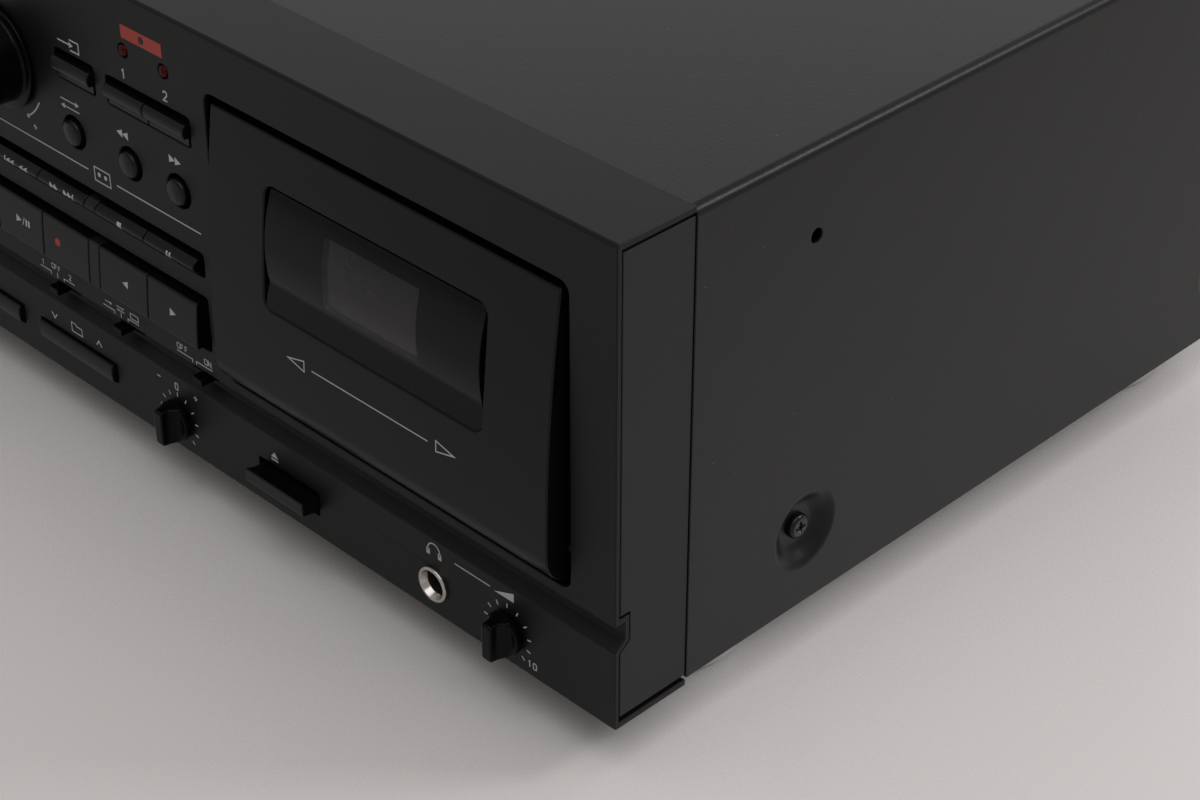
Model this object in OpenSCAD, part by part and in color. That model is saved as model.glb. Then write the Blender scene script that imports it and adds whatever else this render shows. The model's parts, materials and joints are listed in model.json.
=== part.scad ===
// Disc and cassette recorder, in millimetres.
// A folded steel case with an extruded front, a tilting cassette door, a motor disc tray,
// push keys, knobs and slide switches, and the two mechanisms behind them.
// Front frame used below: X to the right, Y back from the front face, Z up from the panel's foot.

/* [Case] */
// Width of the case
body_w = 435; // [432:1:460]
// Height of the front panel
panel_h = 132; // [130:1:150]
// Front face to the outer face of the rear panel
body_d = 262; // [255:1:300]
// Height of the feet under the front panel
foot_h = 13; // [8:1:20]
// Radius of a foot
foot_r = 20.5; // [15:0.5:23]
// Foot centre in from the case side
foot_in = 30.5; // [25:0.5:45]
// Front foot centre behind the front face
foot_front = 49; // [46:1:60]
// Rear foot centre before the rear face
foot_back = 33; // [26:1:60]
// Cover sheet thickness
sheet_t = 1; // [0.8:0.1:1.2]
// Base pan sheet thickness
pan_t = 1.2; // [1:0.1:1.5]
// Outer bend radius of the cover
bend_r = 2.5; // [1.5:0.5:4]
// Radius of a screw dimple in the cover side
dimple_r = 11.5; // [9:0.5:12]
// Depth of a screw dimple
dimple_d = 3.4; // [2.5:0.1:4]
// Height of the cover screws
fix_z = 24.4; // [16:0.1:26]
// Front cover screw behind the front face
fix_front = 66; // [45:1:90]
// Rear cover screw before the rear face
fix_back = 17; // [15:1:40]

/* [Front panel] */
// Wall of the extrusion
panel_t = 1.5; // [1.2:0.1:2]
// Thickness of its top and bottom lips
lip_t = 1.7; // [1.5:0.1:2]
// Depth of the lips
lip_d = 24.2; // [23:0.1:30]
// Lower edge of the long groove
groove_z = 23.3; // [22:0.1:24]
// Height of the groove
groove_h = 7.6; // [6.5:0.1:8]
// Height of the groove's sloping floor
groove_slope = 2.4; // [1:0.1:3]
// Depth of the groove
groove_d = 3.2; // [2:0.1:3.4]
// Height above the groove that the openings are drawn for
field_h = 101.1; // [95:0.1:108]

/* [Cassette door] */
// Door opening in from the case side
well_in = 14.6; // [13:0.1:20]
// Width of the door opening
well_w = 126.4; // [124:0.1:128]
// Foot of the door opening
well_z = 33.6; // [33.4:0.1:35]
// Height of the door opening
well_h = 83; // [82:0.1:86]
// Gap under the door
foot_gap = 1; // [0.5:0.1:1.5]
// Gap round the door
door_gap = 2.5; // [1.5:0.1:3]
// How far the door stands out at its hinge
door_proud = 5.2; // [4.5:0.1:5.6]
// Radius of the door's long curve
face_r = 470; // [440:5:700]
// Radius of the door's foot about its hinge
chin_r = 9; // [8.8:0.1:9.4]
// Wall of the door
door_t = 2.2; // [1.8:0.1:2.4]
// Width of the door window
window_w = 78.5; // [60:0.5:84]
// Height of the door window
window_h = 33.7; // [25:0.1:36]
// Foot of the door window above the opening
window_up = 34; // [31:0.1:36]
// How far the lens crown stands out of the door
lens_out = 0.55; // [0.3:0.05:0.8]
// Fall of the lens from its crown to its edges
lens_sag = 1.75; // [1:0.05:2]
// Gap at the sides and top of the lens
lens_gap = 1.15; // [0.6:0.05:1.5]
// Lens thickness
lens_t = 1.6; // [1.2:0.1:2]
// Radius of the hinge pins
pin_r = 1.6; // [1.4:0.1:2]

/* [Keys] */
// Width between the tray and the door that the key sizes are drawn for
field_w = 128.5; // [120:0.5:136]
// Right end of the key field before the door opening
keys_in = 8.2; // [7:0.1:10]
// Width of one transport key
key_pitch = 21.1; // [19:0.1:22]
// Blank between the disc keys and the tape keys
group_gap = 4.7; // [3:0.1:6]
// Foot of the play row's opening
play_z = 38.6; // [37:0.1:40]
// Height of the play row's opening
play_h = 16.5; // [13:0.1:17]
// Foot of the skip row's opening
skip_z = 61; // [59:0.1:63]
// Height of the skip row's opening
skip_h = 7.2; // [6.5:0.1:8.5]
// Foot of the select row's opening
select_z = 98.15; // [96:0.05:102]
// Height of the select row's opening
select_h = 8.45; // [8:0.05:9]
// Foot of the lower row's opening
low_z = 7.9; // [7.6:0.1:9]
// Height of the lower row's opening
low_h = 6.3; // [5.8:0.1:7]
// How far a key stands out
key_reach = 2; // [1.5:0.1:2.4]
// How far a play key leans out more at its foot than at its top
play_lean = 1; // [0.5:0.1:1.6]
// Key travel
key_travel = 0.8; // [0.5:0.1:0.9]
// Height of the round keys
round_z = 83.4; // [80:0.1:86]
// Radius of a round key
round_r = 3.7; // [3.2:0.1:4]
// Spacing of the two tape winding keys
wind_pitch = 20.1; // [18:0.1:22]
// Height of the record lamps
lamp_z = 116.2; // [113:0.1:118]
// Radius of a record lamp
lamp_r = 1.6; // [1.4:0.1:1.9]

/* [Knobs] */
// Radius of the jog knob's grip
jog_r = 12.4; // [11:0.1:14]
// Width of the skirt round the jog knob
jog_skirt = 2.4; // [1.5:0.1:3]
// How far the jog knob stands out, the object's front extent
jog_reach = 15; // [12:0.5:18]
// Height of the jog knob
jog_z = 95.5; // [93:0.5:98]
// Radius of the small knobs
knob_r = 5.9; // [5:0.1:6.2]
// How far the small knobs stand out
knob_reach = 7.2; // [6:0.1:9]
// Thickness of the grip bar on the small knobs
grip_t = 3.3; // [2.5:0.1:4]
// Height of the small knobs and the headphone jack
knob_z = 9.7; // [9.2:0.1:10.4]
// Bore of the headphone jack
jack_bore = 6.4; // [6.3:0.1:6.5]

/* [Disc drive] */
// Tray opening in from the case side
tray_in = 19.5; // [17:0.5:22]
// Width of the tray opening
tray_w = 146; // [142:1:147]
// Foot of the tray opening
tray_z = 97; // [95:0.5:99]
// Height of the tray opening
tray_h = 19; // [17:0.5:21]
// Foot of the display window
display_z = 46; // [42:0.5:48]
// Height of the display window
display_h = 30; // [24:0.5:32]
// Diameter of the disc the tray takes
disc_d = 120; // [118:1:121]
// Teeth of the tray gear, module one
gear_teeth = 20; // [18:1:22]

/* [Tape deck] */
// Spacing of the two reel hubs
reel_pitch = 42.5; // [41:0.1:44]
// Reel hub height above the door opening's foot
reel_up = 44.4; // [42:0.1:48]
// Spacing of the two capstans
capstan_pitch = 52; // [50:0.5:56]
// Capstan height above the door opening's foot
capstan_up = 16.9; // [16.5:0.1:20]
// Radius of a capstan
capstan_r = 1.2; // [1:0.05:1.5]
// Radius of a flywheel
flywheel_r = 21; // [16:0.5:23]
// Width left in the holder for a cassette
cassette_w = 102; // [101:0.1:103]

/* [Rear] */
// Radius of a line jack's sleeve
line_r = 4.1; // [3.9:0.05:4.3]
// How far the line jacks stand out, the object's rear extent
line_reach = 8; // [6:0.5:10]
// Spacing of the line jacks
line_pitch = 14; // [13:0.5:18]

/* [Fits] */
// Gap round a sliding piece
slide_gap = 0.3; // [0.3:0.05:0.5]
// Radial play of a turning fit
run_gap = 0.05; // [0.03:0.01:0.08]
// Gap round a seated piece
seat_gap = 0.1; // [0.05:0.05:0.2]

/* [Hidden] */
$fn = 48;
right = body_w / 2;
front_y = -(body_d + line_reach - jog_reach) / 2;
// Overrun of a cut past the face that it opens, and overlap of two shapes of one solid
over = 1;
weld = 0.1;
// Pressure angle of all teeth, and the play left between two flanks
pressure = 20;
tooth_slack = 0.2;

// Depths behind the front face
flange_y = panel_t + 1.7;
flange_t = 1.3;
flange_back = flange_y + flange_t;
plate_y = 9;
plate_t = 2;
plate_back = plate_y + plate_t;
board_y = plate_back + 6;
board_t = 1.6;
switch_y = board_y - 2.6;
stem_y = switch_y - key_travel - 0.2;
deck_y = 22;
deck_t = 1.2;

// The groove, and the field of openings above it. The openings spread and rise with the room
// between the tray and the door and with the height of the panel.
groove_in = groove_z + groove_slope;
groove_top = groove_z + groove_h;
groove_back = groove_d + panel_t;
tray_x0 = -right + tray_in;
tray_x1 = tray_x0 + tray_w;
well_x1 = right - well_in;
well_x0 = well_x1 - well_w;
spread = (well_x0 - tray_x1) / field_w;
rise = (panel_h - groove_top) / field_h;
function up(z) = groove_top + (z - groove_top) * rise;

// Case, and the end caps that follow the inside of the extrusion
edge = 0.6;
end_y = panel_t + 0.5;
end_x = 0.3;
end_t = 2.6;
end_low = lip_t + 1.3;
end_top = panel_h - lip_t - 1;
pan_z = lip_t + 0.6;
pan_top = pan_z + pan_t;
cover_y = lip_d + 0.2;
cover_z = pan_z - 0.2;
cover_top = panel_h - 0.6;
pan_x = right - dimple_d - sheet_t;
pan_side = fix_z + 12;
rear_y = body_d - pan_t;
fix_ys = [fix_front, body_d - fix_back];
foot_xs = [-right + foot_in, right - foot_in];
foot_ys = [foot_front, body_d - foot_back];
shank_r = 1.5;
shank_l = 4.5;
head_r = 3.4;
head_h = 2;
seat_r = head_r + 1.9;
hole_r = 1.9;
hole_y = fix_front - 1.6;
hole_z = cover_top - 23.3;
vent_w = 4;
vent_pitch = 20;
vent_y0 = body_d - 77;
vent_y1 = body_d - 37;
slit_w = 3;
slit_pitch = 9;
slit_z0 = up(60);
slit_z1 = up(105);

// Door
well_x = (well_x0 + well_x1) / 2;
well_foot = up(well_z);
well_top = up(well_z + well_h);
hinge_z = well_foot + foot_gap + chin_r;
hinge_y = chin_r - door_proud;
door_x0 = well_x0 + door_gap;
door_x1 = well_x1 - door_gap;
door_top = well_top - door_gap;
door_back = 4.5;
door_end = 2;
window_x0 = well_x - window_w / 2;
window_x1 = well_x + window_w / 2;
window_foot = up(well_z + window_up);
window_top = up(well_z + window_up + window_h);
crease_z = window_foot + 0.2 * (window_top - window_foot);
lens_top = window_top - lens_gap;
lens_mid = (lens_top + crease_z) / 2;
lens_half = (lens_top - crease_z) / 2;
frame_w = 2.5;
tube_t = 2;
tube_x0 = door_x0 - 1.1 - tube_t;
tube_x1 = door_x1 + 1.1 + tube_t;
tube_z0 = well_foot - 0.1 - tube_t;
tube_top = well_top + 0.1 + tube_t;
tube_y = groove_back + 0.5;
tube_floor = tube_z0 + tube_t;
ear_w = 3.4;
holder_y = 2.8;
holder_back = 16.2;
holder_t = 1.6;
holder_x0 = well_x - cassette_w / 2 - holder_t;
holder_z0 = hinge_z - 0.8;
holder_top = window_top + 4.7;

// Damper gears: a sector on the door turns a small pinion
damp_m = 0.6;
sector_teeth = 30;
pinion_teeth = 10;
sector_r = sector_teeth * damp_m / 2;
pinion_r = pinion_teeth * damp_m / 2;
damp_w = 3;
damp_pin_r = 1;
damp_a = 30;
damp_y = hinge_y + (sector_r + pinion_r) * cos(damp_a);
damp_z = hinge_z + (sector_r + pinion_r) * sin(damp_a);

// Key openings, then each key cap as [left, right, foot, top]
key_gap = 0.4;
end_gap = 2.2;
pick_gap = 0.5;
round_gap = 1.1;
key_w = key_pitch * spread;
key_x1 = well_x0 - keys_in * spread;
tape_x = key_x1 - 2 * key_w;
disc_x1 = tape_x - group_gap * spread;
play_foot = up(play_z);
play_open = play_h * rise;
skip_foot = up(skip_z);
skip_open = skip_h * rise;
select_foot = up(select_z);
select_open = select_h * rise;
play_cap_z = play_foot + 1;
play_cap_h = play_open - 2.9;
skip_cap_z = skip_foot + pick_gap;
skip_cap_h = skip_open - 2.8;
pick_z = select_foot + 0.35;
pick_h = select_open - 2.15;
low_cap_z = low_z + 0.35;
low_cap_h = low_h - 0.7;
rec_x1 = key_x1 + 1.5 * spread;
rec_w = 34.5 * spread;
rec_x = rec_x1 - rec_w / 2;
source_x1 = rec_x1 - rec_w - 5.1 * spread;
source_w = 17.2 * spread;
folder_x1 = key_x1 - 43.2 * spread;
folder_w = 35.6 * spread;
folder_x = folder_x1 - folder_w / 2;
mode_x1 = folder_x1 - folder_w - 8.4 * spread;
mode_w = 16.5 * spread;
power_x0 = -right + 13;
power_w = 16.5;
function cap(x0, x1, z, h) = [x0 + key_gap / 2, x1 - key_gap / 2, z, z + h];
function disc_col(i) = disc_x1 - i * key_w;
source_cap = cap(source_x1 - source_w + pick_gap, source_x1 - pick_gap, pick_z, pick_h);
usb_cap = cap(rec_x1 - rec_w + pick_gap, rec_x, pick_z, pick_h);
tape_cap = cap(rec_x, rec_x1 - pick_gap, pick_z, pick_h);
mode_cap = cap(mode_x1 - mode_w + pick_gap, mode_x1 - pick_gap, low_cap_z, low_cap_h);
power_cap = cap(power_x0 + pick_gap, power_x0 + power_w - pick_gap, low_cap_z, low_cap_h);
skip_back_cap = cap(disc_col(2), disc_col(1), skip_cap_z, skip_cap_h);
skip_forward_cap = cap(disc_col(1), disc_col(0), skip_cap_z, skip_cap_h);
stop_cap = cap(tape_x, tape_x + key_w, skip_cap_z, skip_cap_h);
pause_cap = cap(tape_x + key_w, key_x1, skip_cap_z, skip_cap_h);
open_cap = cap(disc_col(3), disc_col(2), play_cap_z, play_cap_h);
play_cap = cap(disc_col(2), disc_col(1), play_cap_z, play_cap_h);
record_cap = cap(disc_col(1), disc_col(0), play_cap_z, play_cap_h);
reverse_cap = cap(tape_x, tape_x + key_w, play_cap_z, play_cap_h);
forward_cap = cap(tape_x + key_w, key_x1, play_cap_z, play_cap_h);
all_caps = [source_cap, usb_cap, tape_cap, mode_cap, power_cap, skip_back_cap, skip_forward_cap,
    stop_cap, pause_cap, open_cap, play_cap, record_cap, reverse_cap, forward_cap];
key_paint = [0.14, 0.14, 0.14];
// Faces as [reach at the top, reach at the foot, bulge, height of the flush strip below]
play_face = [key_reach - 0.1, key_reach - 0.1 + play_lean, 0.1, 0];
skip_face = [key_reach - 1.3, key_reach - 1.6, 1.45, 0];
pick_face = [key_reach - 0.5, key_reach - 0.4, 0.45, 2.25];
low_face = [key_reach - 0.8, key_reach - 0.8, 0.3, 0];
// Flanges behind the panel as [below the cap, above the cap]
low_lip = [1.3, 1.3];
high_lip = [1.3, 3.1];
cap_edge = 0.4;
stem_w = 8;
stem_h = 3.4;
round_row = up(round_z);
round_xs = [rec_x - 34.3 * spread, rec_x - wind_pitch * spread / 2, rec_x + wind_pitch * spread / 2];
round_stem_r = 2.2;
lamp_row = up(lamp_z);
lamp_xs = [rec_x - 8.2 * spread, rec_x + 8.2 * spread];
lamp_pin_r = 1.2;
dome_r = lamp_r + 0.3;
lamp_gap = 0.4;
rocker_y = 6;
rocker_arm = 12 * spread;
rocker_pin_r = 1.2;
arm_w = 3.2;
low_mid = low_z + low_h / 2;
eject_x = well_x - 40.7;
eject_w = 24;
eject_z = low_z - 0.6;
eject_h = low_h + 0.8;
eject_reach = 5.2;
eject_end = 15;

// Slide switches
slot_z = (groove_in + groove_top) / 2;
slot_h = 2.8;
slot_w = 11;
slide_throw = 3;
grip_w = 4;
grip_h = 2;
grip_reach = 2;
shutter_y = groove_back + 0.4;
shutter_t = 1.2;
shutter_w = slot_w + 6;
switch_xs = [key_x1 - 67.3 * spread, key_x1 - 38.1 * spread, key_x1 - 6.1 * spread];

// Knobs and the headphone jack
jog_x = key_x1 - 80.3 * spread;
jog_row = up(jog_z);
jog_gap = 0.8;
pitch_x = key_x1 - 15.6 * spread;
phones_x = well_x + 15.3;
level_x = well_x + 41.5;
jog_shaft_r = 3;
knob_shaft_r = 2;
knob_shaft_y = 8;
knob_gap = 0.6;
skirt_h = 2.6;
blend_r = 3.2;
pot_r = 5.5;
pot_y = 5;
jack_r = 5;
jack_lip = 1.2;
jack_cone = 0.6;
bush_r = 4.4;
jack_w = 13;
jack_h = 11;
jack_end = 28;
bore_end = 24;

// Disc drive
tray_x = (tray_x0 + tray_x1) / 2;
tray_half = tray_w / 2 - 5.9;
tray_foot = up(tray_z);
tray_open = tray_h * rise;
display_foot = up(display_z);
display_open = display_h * rise;
tray_z0 = tray_foot + 4.5;
tray_z1 = tray_z0 + 6;
tray_y = 4;
tray_end = 168;
dish_r = disc_d / 2 + 0.5;
small_dish_r = 41;
disc_y = 80;
dish_z = tray_z1 - 3;
slot_r = 20;
floor_t = 2;
floor_z = tray_foot - 11;
floor_top = floor_z + floor_t;
wall_t = 2;
wall_x = tray_half + 0.4;
rail_w = 4;
loader_end = tray_end + 10;
loader_top = tray_z1 + 3;
rack_z = tray_foot + 0.6;
rack_teeth = 42;
gear_r = gear_teeth / 2;
rack_x = tray_x + 38;
gear_x = rack_x + gear_r;
gear_y = 34;
post_r = 2.5;
spin_r = 1.5;
spin_top = floor_top + 10;
motor_case_r = 14;
platter_r = 15;
hub_r = 7.4;
sled_y = disc_y + 16;
sled_l = 22;
sled_w = 36;
eye_r = 4;
guide_x = 14;
guide_z = floor_top + 5;
guide_r = 1.5;
usb_x = -right + 57.5;
usb_w = 13.2;
usb_h = 5.7;
usb_t = 0.5;

// Deck
reel_z = up(well_z + reel_up);
reel_r = 1.5;
reel_y = 8.6;
spindle_r = 3.6;
reel_disc_r = 12;
capstan_z = up(well_z + capstan_up);
capstan_y = 9;
head_lift = 4;
nip_gap = 0.35;
head_gap = 1.45;
roller_r = (capstan_z - capstan_r - head_lift - nip_gap - tube_floor - head_gap) / 2;
roller_z = tube_floor + head_gap + roller_r;
roller_y = 9.2;
roller_w = 7.8;
head_w = 12;
head_y = 8;
slide_w = 68;
slide_y = deck_y - 2.6;
boss_r = 3.6;
boss_y = deck_y + deck_t + 5;
fly_y = 47;
fly_t = 8;
motor_z = reel_z + 20;
motor_r = 13;
motor_end = 44;
pulley_r = 4;

// Boards, transformer and rear sockets
board_x0 = -right + 8;
board_x1 = key_x1 + 3.5;
board_step = tray_x1 + 3;
board_low = pan_top + 0.8;
board_mid = floor_z - 5;
board_top = panel_h - lip_t - 5;
post_x1 = board_x1 - 36 * spread;
main_x0 = -right + 41.5;
main_x1 = well_x0 - 14.5;
main_y0 = 45;
main_y1 = 160;
main_z = pan_top + 5.5;
main_top = main_z + board_t;
can_r = 7;
can_h = 25.5;
chip_w = 18;
chip_h = 2.5;
fin_w = 26;
fin_h = 30.5;
fin_pitch = 8;
core_x = right - 75.5;
core_y = body_d - 87;
core_foot = [60, 50, 2];
core_size = [48, 42, 50];
coil_size = [32, 62, 34];
line_x = right - 167.5;
line_z = 40;
collar_r = line_r + 1.2;
collar_h = 0.5;
line_bore_r = 1.6;
line_depth = 14;
inlet_x = right - 67.5;
inlet_z = 32;
inlet_w = 25;
inlet_h = 16;
inlet_d = 22;
inlet_rim = 3;
socket_w = 19;
socket_h = 10;
socket_d = 14;

// Shapes
function arc(c, r, a0, a1, n) =
    [for (i = [0 : n]) c + r * [cos(a0 + (a1 - a0) * i / n), sin(a0 + (a1 - a0) * i / n)]];
function rounded(x0, z0, x1, z1, r) = concat(
    arc([x0 + r, z0 + r], r, 180, 270, 4), arc([x1 - r, z0 + r], r, 270, 360, 4),
    arc([x1 - r, z1 - r], r, 0, 90, 4), arc([x0 + r, z1 - r], r, 90, 180, 4));
module front() {
    translate([0, front_y, foot_h]) children();
}
module both(x) {
    for (s = [0, 1]) translate([2 * x * s, 0, 0]) mirror([s, 0, 0]) children();
}
module along_x(x0, x1) {
    translate([x0, 0, 0]) rotate([90, 0, 90]) linear_extrude(x1 - x0) children();
}
module along_y(y0, y1) {
    translate([0, y1, 0]) rotate([90, 0, 0]) linear_extrude(y1 - y0) children();
}
module block(a, b) {
    translate(a) cube(b - a);
}
module rod_x(y, z, r, x0, x1) {
    translate([x0, y, z]) rotate([0, 90, 0]) cylinder(r = r, h = x1 - x0);
}
module rod_y(x, z, r, y0, y1) {
    translate([x, y0, z]) rotate([-90, 0, 0]) cylinder(r = r, h = y1 - y0);
}
module rod_z(x, y, r, z0, z1) {
    translate([x, y, z0]) cylinder(r = r, h = z1 - z0);
}
module window(x0, z0, x1, z1, r, y0, y1) {
    along_y(y0, y1) polygon(rounded(x0, z0, x1, z1, r));
}
module opening(x0, z0, w, h, r) {
    window(x0, z0, x0 + w, z0 + h, r, -over, panel_t + over);
}
module turned(x, z, points) {
    translate([x, 0, z]) rotate([-90, 0, 0]) rotate_extrude() polygon(points);
}

// Involute teeth: the half tooth angle at radius r, then one tooth's outline
function inv(a) = tan(a) * 180 / PI - a;
function half_tooth(r, rp, n, slack) =
    90 / n - slack / rp * 90 / PI + inv(pressure) - inv(acos(min(1, rp * cos(pressure) / r)));
function flank(n, m, i) = n * m / 2 - m + 1.7 * m * i / 4;
function tooth_point(n, m, a, slack, i, side) = let (
    rp = n * m / 2,
    r = flank(n, m, i),
    h = half_tooth(max(r, rp * cos(pressure)), rp, n, slack))
    r * [cos(a + side * h), sin(a + side * h)];
function tooth(n, m, a, slack) = concat(
    [for (i = [0 : 4]) tooth_point(n, m, a, slack, i, -1)],
    [for (i = [4 : -1 : 0]) tooth_point(n, m, a, slack, i, 1)]);
function teeth(n, m, a0, k0, k1, slack) =
    [for (k = [k0 : k1]) for (p = tooth(n, m, a0 + k * 360 / n, slack)) p];
function rack_half(m, x, slack) = PI * m / 4 - x * tan(pressure) - slack / 2;
function rack(m, count, slack) = [for (k = [0 : count - 1]) for (p = [
    [-m, -rack_half(m, -m, slack)], [0.7 * m, -rack_half(m, 0.7 * m, slack)],
    [0.7 * m, rack_half(m, 0.7 * m, slack)], [-m, rack_half(m, -m, slack)]])
    p + [0, k * PI * m]];

// Case
module base_pan() color("silver") front() difference() {
    union() {
        block([-pan_x, plate_back, pan_z], [pan_x, rear_y, pan_top]);
        both(0) block([pan_x - pan_t, cover_y + 2, pan_top - weld], [pan_x, rear_y, pan_side]);
        for (x = [main_x0 + 6, main_x1 - 6]) for (y = [main_y0 + 6, main_y1 - 6])
            rod_z(x, y, 4, pan_top - weld, main_z);
    }
    both(0) for (y = fix_ys)
        rod_x(y, fix_z, shank_r + run_gap, pan_x - pan_t - over, pan_x + over);
    for (x = [main_x0 + 26 : vent_pitch : main_x1 - 32])
        block([x, vent_y0, pan_z - over], [x + vent_w, vent_y1, pan_top + over]);
}

module at_jacks() {
    for (i = [-0.5, 0.5]) for (k = [-0.5, 0.5])
        translate([line_x + i * line_pitch, 0, line_z + k * line_pitch]) children();
}

module rear_panel() color("dimgray") front() difference() {
    window(-right + sheet_t + 0.4, pan_z + 0.2, right - sheet_t - 0.4, cover_top - sheet_t - 0.3,
        1.5, rear_y, body_d);
    at_jacks() rod_y(0, 0, collar_r + seat_gap, rear_y - over, body_d + over);
    window(inlet_x - inlet_w / 2 - seat_gap, inlet_z - inlet_h / 2 - seat_gap,
        inlet_x + inlet_w / 2 + seat_gap, inlet_z + inlet_h / 2 + seat_gap,
        2, rear_y - over, body_d + over);
    for (x = [tray_x0 + 18 : slit_pitch : tray_x0 + 108])
        window(x, slit_z0, x + slit_w, slit_z1, 1.4, rear_y - over, body_d + over);
}

// A drawn dimple: the sheet sinks to a flat seat along a smooth wave
function sink(i) = [seat_r + (dimple_r - seat_r) * i / 10, -dimple_d * (1 + cos(18 * i)) / 2];
module dimple() rotate_extrude() polygon(concat(
    [[shank_r + 0.3, -dimple_d]], [for (i = [0 : 10]) sink(i)], [[dimple_r + 0.6, 0]],
    [[dimple_r + 0.6, -sheet_t]], [for (i = [10 : -1 : 0]) sink(i) - [0, sheet_t]],
    [[shank_r + 0.3, -dimple_d - sheet_t]]));

function cover_bend(side, r, a0, a1) =
    arc([side * (right - bend_r), cover_top - bend_r], r, a0, a1, 6);
module top_cover() color("dimgray") front() {
    difference() {
        along_y(cover_y, body_d) polygon(concat(
            [[-right, cover_z]], cover_bend(-1, bend_r, 180, 90), cover_bend(1, bend_r, 90, 0),
            [[right, cover_z], [right - sheet_t, cover_z]],
            cover_bend(1, bend_r - sheet_t, 0, 90), cover_bend(-1, bend_r - sheet_t, 90, 180),
            [[-right + sheet_t, cover_z]]));
        both(0) {
            for (y = fix_ys) rod_x(y, fix_z, dimple_r, right - sheet_t - over, right + over);
            rod_x(hole_y, hole_z, hole_r, right - sheet_t - over, right + over);
        }
    }
    both(0) for (y = fix_ys) translate([right, y, fix_z]) rotate([0, 90, 0]) dimple();
}

// Pan-head screws with a cross recess
module cover_screws() color("black") front() both(0) for (y = fix_ys)
    translate([right - dimple_d, y, fix_z]) rotate([0, 90, 0]) difference() {
        union() {
            rotate_extrude() polygon(concat([[0, 0], [head_r, 0]],
                arc([head_r - 1.3, 0.7], 1.3, 0, 80, 5), [[0, head_h]]));
            translate([0, 0, -shank_l]) cylinder(r = shank_r, h = shank_l + weld);
        }
        for (a = [0, 90]) rotate(a) translate([0, 0, head_h])
            rotate([90, 0, 0]) linear_extrude(0.9, center = true)
                polygon([[-2, 1], [2, 1], [1.7, 0], [0.5, -1.3], [-0.5, -1.3], [-1.7, 0]]);
    }

// Feet: a standing ring round a screw recess
module feet() color("silver") front() for (x = foot_xs) for (y = foot_ys)
    translate([x, y, -foot_h]) difference() {
        rotate_extrude() polygon([[0, 0.8], [foot_r - 6.8, 0.8], [foot_r - 6, 0], [foot_r - 1.2, 0],
            [foot_r, 1.2], [foot_r, foot_h - 4], [foot_r - 1.5, foot_h - 2],
            [foot_r - 1.5, foot_h + pan_z], [0, foot_h + pan_z]]);
        translate([0, 0, -over]) cylinder(r = 5, h = foot_h / 2);
    }

// Front: the extrusion's outline, then the openings cut in it
function panel_outline() = [
    [edge, 0], [lip_d, 0], [lip_d, lip_t], [panel_t, lip_t], [panel_t, groove_z - 0.7],
    [groove_back, groove_in - 0.7], [groove_back, groove_top + panel_t], [panel_t, groove_top + panel_t],
    [panel_t, panel_h - lip_t], [lip_d, panel_h - lip_t], [lip_d, panel_h], [edge, panel_h],
    [0, panel_h - edge], [0, groove_top], [groove_d, groove_top], [groove_d, groove_in],
    [0, groove_z], [0, edge]];

module front_panel() color([0.12, 0.12, 0.12]) front() difference() {
    along_x(-right, right) polygon(panel_outline());
    opening(well_x0, well_foot, well_w, well_top - well_foot, 3);
    opening(tray_x0, tray_foot, tray_w, tray_open, 0.8);
    opening(tray_x0, display_foot, tray_w, display_open, 1.5);
    opening(disc_col(3) - end_gap, play_foot, key_x1 - disc_col(3) + 2 * end_gap, play_open, 1);
    opening(disc_col(2) - end_gap, skip_foot, key_x1 - disc_col(2) + 2 * end_gap, skip_open, 1);
    opening(rec_x1 - rec_w, select_foot, rec_w, select_open, 1);
    opening(source_x1 - source_w, select_foot, source_w, select_open, 1);
    opening(folder_x1 - folder_w, low_z, folder_w, low_h, 0.6);
    opening(mode_x1 - mode_w, low_z, mode_w, low_h, 0.6);
    opening(power_x0, low_z, power_w, low_h, 0.6);
    opening(eject_x - eject_w / 2, eject_z, eject_w, eject_h, 0.6);
    opening(usb_x - usb_w / 2 - key_gap, knob_z - usb_h / 2 - key_gap,
        usb_w + 2 * key_gap, usb_h + 2 * key_gap, 0.5);
    for (x = round_xs) rod_y(x, round_row, round_r + round_gap, -over, panel_t + over);
    for (x = lamp_xs) rod_y(x, lamp_row, lamp_r + lamp_gap, -over, panel_t + over);
    for (x = switch_xs) window(x - slot_w / 2, slot_z - slot_h / 2, x + slot_w / 2, slot_z + slot_h / 2,
        0.4, groove_d - over, groove_back + over);
    rod_y(jog_x, jog_row, jog_shaft_r + knob_gap, -over, panel_t + over);
    for (x = [pitch_x, level_x]) rod_y(x, knob_z, knob_shaft_r + knob_gap, -over, panel_t + over);
    rod_y(phones_x, knob_z, bush_r + 2 * seat_gap, -over, panel_t + over);
}

// Sub-frame: the end caps follow the extrusion's inside, and a plate guides every stem
function end_outline() = [
    [end_y, end_low], [lip_d, end_low], [lip_d, end_top], [end_y, end_top],
    [end_y, groove_top + panel_t + 0.5], [groove_back + 0.5, groove_top + panel_t + 0.5],
    [groove_back + 0.5, groove_in - 1.2], [end_y, groove_z - 1.2]];
module guide(x, z, w, h) {
    block([x - w / 2 - slide_gap, plate_y - over, z - h / 2 - slide_gap],
        [x + w / 2 + slide_gap, plate_back + over, z + h / 2 + slide_gap]);
}
module plate_hole(x, z, r) {
    rod_y(x, z, r + slide_gap, plate_y - over, plate_back + over);
}
module key_blank(c, face) {
    along_x(disc_x1 + key_gap / 2, tape_x - key_gap / 2) polygon(cap_outline(c, face, [0, 0]));
    block([disc_x1 + key_gap, flange_y, c[2] + cap_edge],
        [tape_x - key_gap, plate_y + weld, c[3] - cap_edge]);
}
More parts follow.
